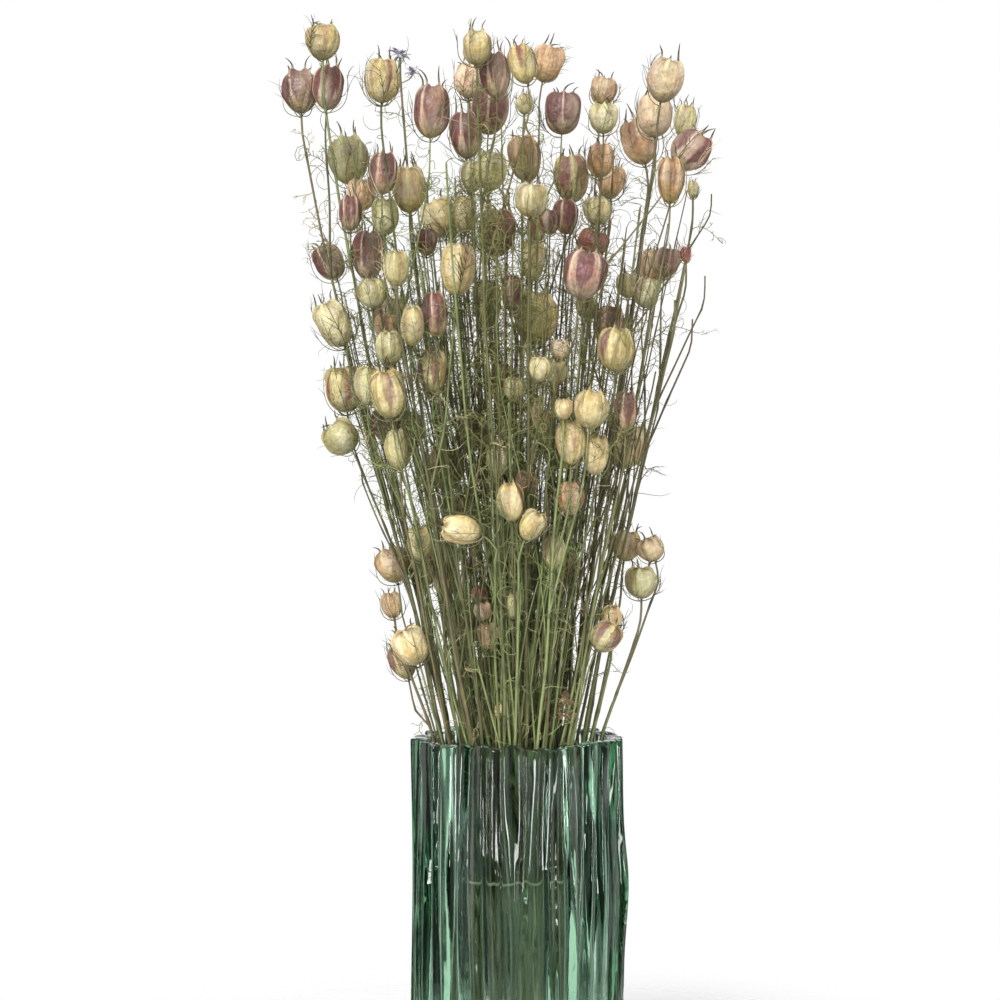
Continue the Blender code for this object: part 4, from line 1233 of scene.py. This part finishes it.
# Thin shoots that fork off a spray's main stem, and whole thin stems between the sprays
shoots = {
    "count": 4,
    "starts": (206 * mm, 320 * mm),
    "lengths": (70 * mm, 220 * mm),
    "shortest": 40 * mm,
    "belowHead": 20 * mm,
    "apart": (0.10, 0.45),       # in half widths of the bunch
    "parting": 90 * mm,
    "furthest": 1.04,
    "radii": (0.58 * mm, 0.34 * mm),
    "spacing": 8 * mm,
    "leastRings": 5,
    "knotGap": 6,                # in spacings
    "room": 0.8 * mm,            # kept from every pod
}
looseStems = {
    "pieces": 4,
    "each": 58,
    "tries": 3000,
    "tops": (260 * mm, 535 * mm),
    "radii": ((0.65 * mm, 1.1 * mm), (0.35 * mm, 0.6 * mm)),
    "apart": 1.8 * mm,
    "checked": (60 * mm, 124 * mm, 200 * mm),
    "starts": 0.78,              # in half widths
    "crossing": 0.8,             # how far a stem may stray sideways on its way up, in half widths
    "from": 120 * mm,
    "over": (120 * mm, 360 * mm),            # the rise on which it does so
    "bow": 3.2 * mm,
    "bowLength": 42 * mm,
    "headRadii": (0.6 * mm, 0.4 * mm),
    "headNod": 8,
    "headDepths": (-0.95, -0.5), # the nearest ones, below and above the next height
    "headDense": 430,
    "headDeeper": 0.75,
    "frontTaper": 1.6,
    "frontSides": 6,
    "frontOldest": 0.2,
}

# Thick pale stems seen in front: across at the mouth and further up, both in half widths
# of the bunch, the rise between the two and the height of the top in mm, and the width in mm
stemsInFront = (
    (-0.20, -0.52, 140, 452, 2.1), (-0.24, -0.13, 150, 436, 2.3), (-0.30, -0.99, 200, 350, 1.6),
    (0.05, 0.22, 200, 400, 1.8), (0.25, 0.43, 180, 395, 1.7), (0.50, 0.74, 200, 440, 1.5),
    (-0.52, -0.96, 190, 352, 1.5), (0.10, -0.20, 190, 335, 1.5), (-0.12, 0.36, 230, 420, 1.4),
    (0.34, -0.06, 240, 380, 1.4), (-0.38, -0.74, 200, 470, 1.7), (0.36, 0.60, 240, 480, 1.5),
    (0.00, -0.34, 250, 500, 1.7), (-0.30, 0.02, 260, 460, 1.8), (0.16, 0.10, 120, 488, 1.5),
    (-0.05, -0.66, 210, 415, 1.5), (0.60, 0.90, 200, 455, 1.6), (0.46, 0.84, 210, 398, 1.4),
)

# Smaller heads seen between the stems, on loose stems of their own
headsBetween = (
    (-11, 351, 12, 17, 0, "green"), (-30, 326, 11, 13, 0, "tan"), (-40, 299, 12, 17, 5, "green"),
    (29, 293, 12, 16, 0, "tan"), (-21, 278, 8, 9, 0, "rose"), (-19, 269, 10, 11, 0, "blush"),
    (-16, 255, 11, 15, 0, "tan"), (20, 259, 12, 18, 0, "green"), (-9, 214, 7.5, 9, 0, "straw"),
    (11, 480, 11, 15, 0, "striped"), (18, 483, 11, 14, 0, "plum"), (27, 486, 14, 20, 0, "plum"),
    (-3, 444, 12, 20, 0, "plum"), (-2, 391, 11, 13, 0, "green"), (21, 400, 12, 14, 0, "green"),
    (23, 413, 10, 11, 0, "blush"), (10, 377, 8, 15, 0, "tan"), (15, 369, 12, 17, 0, "green"),
    (-40, 284, 12, 15, 0, "tan"), (-50, 472, 12, 15, 0, "plum"), (-66, 434, 12, 15, 0, "green"),
    (-72, 425, 13, 15, 0, "tan"), (-25, 508, 12, 17, 0, "green"),
)


class Pods:  # all pods as ellipsoids, for stems to keep clear of
    def __init__(self, heads):
        self.heads = [head for head in heads if not head.bare]
        self.measure()

    def measure(self):
        self.centres = routeArray(head.centre for head in self.heads)
        self.axes = routeArray(head.axis for head in self.heads)
        self.halves = np.array([head.length / 2 for head in self.heads])
        self.radii = np.array([head.radius for head in self.heads])

    def clearOf(self, path, room):
        away = path[:, None] - self.centres[None]
        along = (away * self.axes).sum(-1)
        out = np.sqrt(np.maximum(0, (away**2).sum(-1) - along**2))
        return ((along / (self.halves + room)) ** 2 + (out / (self.radii + room)) ** 2).min() > 1


def thinStem(heap, path, radii, draw, sides=3, oldest=1.0):
    path = wavered(path, np.sin(path[:, 2:] / stem["waves"][2] + draw.uniform(*anyPhase, 3)))
    knots = np.zeros(len(path))
    knots[int(draw.integers(2, 6)):-1:shoots["knotGap"]] = 1.0
    return addStalk(heap, path, tapered(radii, len(path)), sides, draw.uniform(0, oldest), knots)


def inReach(cell):
    return cell * (shoots["furthest"] / cell.length) if cell.length > shoots["furthest"] else cell


def addShoots(heap, main, mainPath, pods, draw):
    mainCell = cellOf(main.neck)
    for _ in range(shoots["count"]):
        start = draw.uniform(*shoots["starts"])
        end = min(start + draw.uniform(*shoots["lengths"]), mainPath[-1, 2] - shoots["belowHead"])
        bearing, apart = draw.uniform(0, math.tau), draw.uniform(*shoots["apart"])
        if end - start < shoots["shortest"]:
            continue
        cell = inReach(mainCell + compass(bearing) * apart)
        heights = np.arange(start, end, shoots["spacing"])
        path = sample(mainPath, mainPath[:, 2], heights)
        for row, height in enumerate(heights):
            share = float(easeIn((height - start) / shoots["parting"]))
            path[row, :2] += onStreamline(mainCell.lerp(cell, share), height) - onStreamline(mainCell, height)
        least = shoots["leastRings"]
        while len(path) > least and (reachShare(path[-1])[0] > 1 or not pods.clearOf(path, shoots["room"])):
            path = path[:-1]
        if len(path) > least:
            path, knots = thinStem(heap, path, shoots["radii"], draw)
            addLeaves(heap, path, knots, draw)
            addCurls(heap, path, draw)


def betweenHead(row, stemPoints, pods):  # at the depth where it has most room
    across, height, diameter, length, lean, tone = row
    nearest = looseStems["headDepths"][height >= looseStems["headDense"]]
    spread = spreadAt(height * mm)

    def room(centre):
        fromStems = np.linalg.norm(stemPoints - np.array(centre), axis=1).min()
        fromPods = (np.linalg.norm(pods.centres - np.array(centre), axis=1) - pods.radii).min()
        return min(fromStems, fromPods) - 0.02 * centre.y

    depths = np.linspace(nearest, nearest + looseStems["headDeeper"], 16)
    centre = max([seenFrom(across * mm, depth * spread, height * mm)[0] for depth in depths], key=room)
    return Head(centre, axisOf(lean, looseStems["headNod"]), diameter / 2 * mm, length * mm, tone)


def looseRoute(cells, top, rounding, rise=1.0, bow=(0.0, 0.0), phase=0.0):
    heights = np.append(np.arange(vase["floor"] + 0.5 * mm, top - rounding, shoots["spacing"]), top)
    rows = []
    for height in heights:
        share = float(easeIn((height - looseStems["from"]) / min(rise, top - looseStems["from"])))
        sway = Vector(bow) * share * math.sin(height / looseStems["bowLength"] + phase)
        rows.append((*(onStreamline(cells[0].lerp(cells[1], share), height) + sway), height))
    return np.array(rows)


class Room:  # where the stems pass a few levels, so that each new one keeps apart from them there
    def __init__(self, sprays):
        routes = [self.places(routeArray(members[0].route)) for members in sprays]
        self.taken = [list(level) for level in zip(*routes)]

    def places(self, path):
        return sample(path[:, :2], path[:, 2], looseStems["checked"])

    def claim(self, path):
        places = self.places(path)
        for taken, place in zip(self.taken, places):
            if np.linalg.norm(np.array(taken) - place, axis=1).min() < looseStems["apart"]:
                return False
        for taken, place in zip(self.taken, places):
            taken.append(place)
        return True


def anyCell(limit, draw):
    bearing = draw.uniform(0, math.tau)
    return compass(bearing) * (limit * math.sqrt(draw.uniform(0, 1)))


def addHeadBetween(heap, head, draw):
    cell = cellOf(head.base)
    path = looseRoute((cell * 0.7, cell), head.base.z, 6 * mm)
    path, knots = thinStem(heap, path, looseStems["headRadii"], draw)
    addLeaves(heap, path, knots, draw)
    addPod(heap, head, draw)
    addBracts(heap, head, draw)


def addStemInFront(heap, row, pods, draw):  # as near the front as the pods allow
    foot, end, rise, top, width = row
    for depth in np.linspace(1.0, 0.3, 15):
        cells = [Vector((share, -math.sqrt(max(0, depth**2 - share**2)))) for share in (foot, end)]
        path = looseRoute(cells, top * mm, 1 * mm, rise * mm)
        if pods.clearOf(path, width * mm):
            break
    radii = (width / 2 * mm, width / 2 / looseStems["frontTaper"] * mm)
    path, _ = thinStem(heap, path, radii, draw, looseStems["frontSides"], looseStems["frontOldest"])
    addCurls(heap, path, draw)


def addLooseStem(heap, pods, room, draw):  # says whether there was room for it
    start = anyCell(looseStems["starts"], draw)
    end = inReach(start + anyCell(looseStems["crossing"], draw))
    rise = draw.uniform(*looseStems["over"])
    top = draw.uniform(*looseStems["tops"])
    bow = draw.normal(0, looseStems["bow"], 2)
    phase = draw.uniform(*anyPhase)
    path = looseRoute((start, end), top, 1 * mm, rise, bow, phase)
    if reachShare(path)[0].max() >= 1 or not pods.clearOf(path, shoots["room"]) or not room.claim(path):
        return False
    path, knots = thinStem(heap, path, [draw.uniform(*span) for span in looseStems["radii"]], draw)
    addLeaves(heap, path, knots, draw)
    addCurls(heap, path, draw)
    return True


def makeLooseStems(sprays, pods, skins):
    draw = np.random.default_rng(55)
    stemPoints = np.concatenate([routeArray(head.route) for members in sprays for head in members])
    room = Room(sprays)
    heads = [betweenHead(row, stemPoints, pods) for row in headsBetween]
    pods.heads += heads
    pods.measure()
    pieces = looseStems["pieces"]
    total = stems = 0
    for number in range(pieces):
        heap = Heap()
        for head in heads[number::pieces]:
            addHeadBetween(heap, head, draw)
        for row in stemsInFront[number::pieces]:
            addStemInFront(heap, row, pods, draw)
        made = tries = 0
        while made < looseStems["each"] and tries < looseStems["tries"]:
            tries += 1
            made += addLooseStem(heap, pods, room, draw)
        piece = heap.build(f"loose_stems_{number + 1}", skins)
        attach(piece, "root")
        total += heap.triangles()
        stems += made
    print("loose stems made:", stems)
    return total


# Thread leaves: cut into fine threads, dried and curled
leaf = {
    "stalk": (14 * mm, 38 * mm),
    "stalkSteps": 9,
    "stalkTurns": (1.0, 6.0),
    "sides": 7,
    "sideSteps": 4,
    "sideLengths": (0.2, 0.42),
    "twigs": 2,
    "twigSteps": 2,
    "twigLengths": (0.08, 0.2),
    "radii": (0.30 * mm, 0.22 * mm, 0.17 * mm),
    "lowest": 196 * mm,
    "heights": (200 * mm, 310 * mm, 370 * mm, 480 * mm, 560 * mm),
    "shares": (0.30, 0.34, 0.62, 0.66, 0.34),
    "sizes": (0.9, 0.9, 1.0, 0.8, 0.7),
}
curls = {
    "counts": (0.12, 0.2, 0.7, 0.8, 0.3),        # at the same heights
    "length": (10 * mm, 32 * mm),
    "turns": (2.0, 10.0),
    "steps": 7,
    "radius": 0.24 * mm,
    "inMiddle": 0.7,             # how many more there are in the middle
    "middle": 45 * mm,
    "toEdge": (0.65, 1.0),       # as a share of the close stems' reach, and how many are left out there
    "left": (1.0, 0.2),
    "bareLeft": 345 * mm,        # the left edge is as bare as the right one up to this height
    "tufts": ((-38, 512), (-30, 488), (-66, 548), (-12, 470), (-75, 533), (-20, 500)),   # in mm
    "tuft": 12 * mm,
    "inTuft": 2.2,
}


def threadShare(points):  # how many leaves and threads there are at a place, against the usual number
    share, side = reachShare(points)
    edge = (side > 0) | (points[..., 2] < curls["bareLeft"])
    few = np.interp(np.where(edge, share, 0.0), curls["toEdge"], curls["left"])
    gaps = [np.hypot(points[..., 0] - x * mm, points[..., 2] - z * mm) for x, z in curls["tufts"]]
    return few * (1 + curls["inTuft"] * np.exp(-((np.min(gaps, 0) / curls["tuft"]) ** 2)))


def leafSpots(path, knots, draw):  # a leaf at most knots, and fewer high up
    starts, headings, scales = [], [], []
    for knot in knots:
        point = path[knot]
        if point[2] < leaf["lowest"]:
            continue
        share = np.interp(point[2], leaf["heights"], leaf["shares"])
        if draw.uniform() > share * threadShare(point):
            continue
        forward = unit(path[min(knot + 1, len(path) - 1)] - path[knot - 1])
        away = unit(np.cross(forward, draw.normal(size=3)))
        starts.append(point)
        headings.append(unit(forward * draw.uniform(0.4, 1.4) + away))
        scales.append(np.interp(point[2], leaf["heights"], leaf["sizes"]))
    return np.array(starts), np.array(headings), np.array(scales)


def addLeaves(heap, path, knots, draw):
    starts, headings, scale = leafSpots(path, knots, draw)
    many = len(starts)
    if not many:
        return
    lengths = draw.uniform(*leaf["stalk"], many) * scale
    turns = draw.uniform(*leaf["stalkTurns"], many)
    seeds = draw.uniform(0, 1, many)
    stalks = curl(starts, headings, lengths, turns, leaf["stalkSteps"], draw)
    addThreads(heap, stalks, leaf["radii"][0], "leaf", seeds)
    owner = np.repeat(np.arange(many), leaf["sides"])
    step = np.tile(np.linspace(2, leaf["stalkSteps"], leaf["sides"]).astype(int), many)
    reach = lengths[owner] * draw.uniform(*leaf["sideLengths"], len(owner))
    sides = branch(stalks, owner, step, reach, leaf["sideSteps"], draw)
    addThreads(heap, sides, leaf["radii"][1], "leaf", seeds[owner])
    twigOwner = np.repeat(np.arange(len(owner)), leaf["twigs"])
    twigStep = draw.integers(1, leaf["sideSteps"], len(twigOwner))
    reach = lengths[owner][twigOwner] * draw.uniform(*leaf["twigLengths"], len(twigOwner))
    twigs = branch(sides, twigOwner, twigStep, reach, leaf["twigSteps"], draw)
    addThreads(heap, twigs, leaf["radii"][2], "leaf", seeds[owner][twigOwner])


def addCurls(heap, path, draw):  # single threads, loosely curled
    counts = np.interp(path[:, 2], leaf["heights"], curls["counts"]) * (path[:, 2] > leaf["lowest"])
    counts *= 1 + curls["inMiddle"] * np.exp(-((path[:, 0] / curls["middle"]) ** 2))
    counts *= threadShare(path)
    starts = np.repeat(path, np.floor(counts + draw.uniform(size=len(path))).astype(int), axis=0)
    many = len(starts)
    headings = anyHeading(draw, 0.6, many)
    lengths = draw.uniform(*curls["length"], many)
    turns = draw.uniform(*curls["turns"], many)
    threads = curl(starts, headings, lengths, turns, curls["steps"], draw)
    addThreads(heap, threads, curls["radius"], "leaf", draw.uniform(0, 1, many))


def branch(paths, owner, step, lengths, steps, draw):
    forward = unit(np.gradient(paths, axis=1))[owner, step]
    away = unit(np.cross(forward, draw.normal(size=forward.shape)))
    heading = unit(forward * 0.7 + away)
    return curl(paths[owner, step], heading, lengths, draw.uniform(0.8, 3.6, len(owner)), steps, draw)


# Withered scraps: thin crumpled sheets
scrap = {
    "rows": 7,
    "columns": 5,
    "thick": 0.14 * mm,
    "crumple": 0.10,
    "browns": ((0.30, 0.22, 0.15), (0.68, 0.56, 0.44)),
    "blues": ((0.40, 0.38, 0.46), (0.86, 0.85, 0.89)),
}


def makeScrapSkin():
    skin = Skin("withered skin")
    _, seed, blue = skin.split(skin.attribute("place"))
    folds = skin.noise(skin.objectPlace(), 500.0, 4.0, 0.6)
    skin.colour = skin.mix(blue, skin.mix(folds, *scrap["browns"]), skin.mix(folds, *scrap["blues"]))
    skin.vary(0.5, 1.0, skin.ramp(seed, 0.0, 1.0, 0.8, 1.15))
    return skin.finish(Roughness=0.75, Normal=skin.bump(folds, 0.4 * mm, 0.8))


def addScrap(heap, start, heading, length, width, turn, blue, draw):
    rows, columns = scrap["rows"], scrap["columns"]
    along = np.linspace(0, 1, rows)[:, None]
    across = np.linspace(-1, 1, columns)[None]
    forward = unit(np.asarray(heading, float))
    side = unit(np.cross(forward, draw.normal(size=3)))
    above = np.cross(forward, side)
    half = width / 2 * (0.2 + 0.8 * np.sin(math.pi * along**0.8))
    x = length * np.sin(turn * along) / turn
    z = length * (1 - np.cos(turn * along)) / turn + 0.5 * half * across**2 * draw.uniform(-1, 1)
    z = z + draw.normal(0, scrap["crumple"] * width, (rows, columns)) * (along > 0.05)
    y = half * across + 0 * z
    middle = np.asarray(start) + x[..., None] * forward + y[..., None] * side + z[..., None] * above
    normal = unit(np.cross(np.gradient(middle, axis=0), np.gradient(middle, axis=1)))
    points = np.concatenate((middle + normal * scrap["thick"] / 2, middle - normal * scrap["thick"] / 2))
    index = np.arange(rows * columns).reshape(rows, columns)
    upper = np.stack((index[:-1, :-1], index[1:, :-1], index[1:, 1:], index[:-1, 1:]), -1).reshape(-1, 4)
    lower = upper[:, ::-1] + rows * columns
    edge = np.concatenate((index[0], index[1:, -1], index[-1, -2::-1], index[-2:0:-1, 0]))
    after = np.roll(edge, -1)
    wall = np.stack((edge, after, after + rows * columns, edge + rows * columns), -1)
    place = np.tile((0.5, draw.uniform(0, 1), blue), (2 * rows * columns, 1))
    heap.add(points, (upper, lower, wall), "scrap", place, points.reshape(-1, 3) * 0)


withered = {
    "petals": 15,
    "length": (5 * mm, 10 * mm),
    "width": (1.4 * mm, 3.0 * mm),
    "turns": (0.8, 3.0),
    "threads": 14,
    "threadLengths": (4, 9),                 # in mm
    "second": (7.2 * mm, 0.0, -10.5 * mm),   # the smaller flower beside it
    "secondSize": 0.75,
    "stalk": 16 * mm,
    "stalkRadius": 0.35 * mm,
}


def addWitheredFlower(heap, head, draw):
    top = np.array(head.base)
    second = top + np.array(withered["second"])
    many = withered["threads"]
    for centre, share in ((top, 1.0), (second, withered["secondSize"])):
        for _ in range(withered["petals"]):
            heading = anyHeading(draw, 1.7)
            length, width = [draw.uniform(*withered[key]) * share for key in ("length", "width")]
            turn = draw.uniform(*withered["turns"])
            addScrap(heap, centre - heading * 0.5 * mm, heading, length, width, turn, 1.0, draw)
        headings = anyHeading(draw, 0.3, many)
        lengths = draw.uniform(*withered["threadLengths"], many) * mm * share
        threads = curl(np.tile(centre, (many, 1)), headings, lengths, draw.uniform(0.5, 4, many), 5, draw)
        addThreads(heap, threads, leaf["radii"][1], "bract", draw.uniform(0, 1, many))
    stalk = np.linspace(top - np.array((0, 0, withered["stalk"])), second, 6)
    stalk[1:-1] += np.array((2 * mm, 0, 0)) * np.sin(np.linspace(0, math.pi, 6))[1:-1, None]
    addTube(heap, stalk, np.full(6, withered["stalkRadius"]), 4, 0.5)


# A few crumpled leaves low between the stems, and pale wisps out to the left
debris = {
    "leaves": ((25, 212, 5), (15, 203, 3), (22, 222, 3)),   # across and height in mm, and how many scraps
    "depth": -0.8,
    "scatter": 1.6 * mm,
    "length": (6 * mm, 13 * mm),
    "width": (3 * mm, 6 * mm),
    "turns": (1.0, 4.0),
    "wisps": ((-117, 498), (-113, 487), (-109, 480), (-101, 396)),
    "wispRadii": (0.3 * mm, 0.22 * mm),
}


def makeDebris(sprays, skins):
    draw = np.random.default_rng(77)
    heap = Heap()
    for across, height, count in debris["leaves"]:
        middle = np.array((across * mm, debris["depth"] * spreadAt(height * mm), height * mm))
        for _ in range(count):
            place = middle + draw.normal(0, debris["scatter"], 3)
            heading = unit(draw.normal(size=3) + np.array((0, -0.3, 0.8)))
            length, width = draw.uniform(*debris["length"]), draw.uniform(*debris["width"])
            addScrap(heap, place, heading, length, width, draw.uniform(*debris["turns"]), 0.0, draw)
    points = routeArray(p for members in sprays for head in members for p in head.route)
    for across, height in debris["wisps"]:
        goal = np.array((across * mm, 0, height * mm))
        start = points[np.linalg.norm((points - goal)[:, (0, 2)], axis=1).argmin()]
        goal[1] = start[1]
        heading = np.tile(unit(goal - start), (2, 1))
        length = np.linalg.norm(goal - start) + draw.uniform(4, 9, 2) * mm
        threads = curl(np.tile(start, (2, 1)), heading, length, draw.uniform(0.5, 2.5, 2), 8, draw)
        addThreads(heap, threads, debris["wispRadii"][0], "leaf", (1.0, 0.95))
        side = branch(threads, np.array((0, 0, 1, 1)), np.array((4, 6, 5, 7)), np.full(4, 6 * mm), 4, draw)
        addThreads(heap, side, debris["wispRadii"][1], "leaf", np.full(4, 1.0))
    piece = heap.build("leaf_scraps", skins)
    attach(piece, "root")
    return heap.triangles()


# Sprays
def makeSpray(number, members, pods, skins):
    name = f"spray_{number + 1:02d}"
    draw = np.random.default_rng(100 + number)
    heap = Heap()
    for head in members:
        path, knots = addStem(heap, head, draw)
        addLeaves(heap, path, knots, draw)
        addCurls(heap, path, draw)
        if head.main:
            addShoots(heap, head, path, pods, draw)
        if head.tone == "wilted":
            addWitheredFlower(heap, head, draw)
        elif not head.bare:
            addPod(heap, head, draw)
            addBracts(heap, head, draw)
    piece = heap.build(name + "_fine", skins)
    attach(piece, "root")
    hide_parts(name)
    bearing = [head.tone for head in members if not head.bare] or ["green"]
    max(sorted(set(bearing)), key=bearing.count) + "_pods"
    return heap.triangles()


makeStudio()
print("studio ready")
sprays = arrange()
print("bunch arranged:", len(sprays), "sprays")
skins = {tone: makePodSkin(tone) for tone in podTones}
skins.update({kind: makeStrandSkin(kind) for kind in strands})
skins.update(scrap=makeScrapSkin(), glass=makeGlass(), cord=makeCordSkin())
pods = Pods([head for members in sprays for head in members])
total = sum(makeSpray(number, members, pods, skins) for number, members in enumerate(sprays))
print("sprays made, triangles:", total)
print("loose stems made, triangles:", makeLooseStems(sprays, pods, skins))
print("scraps made, triangles:", makeDebris(sprays, skins))
makeVase(skins)
makeTie(skins)
print("vase and tie made")
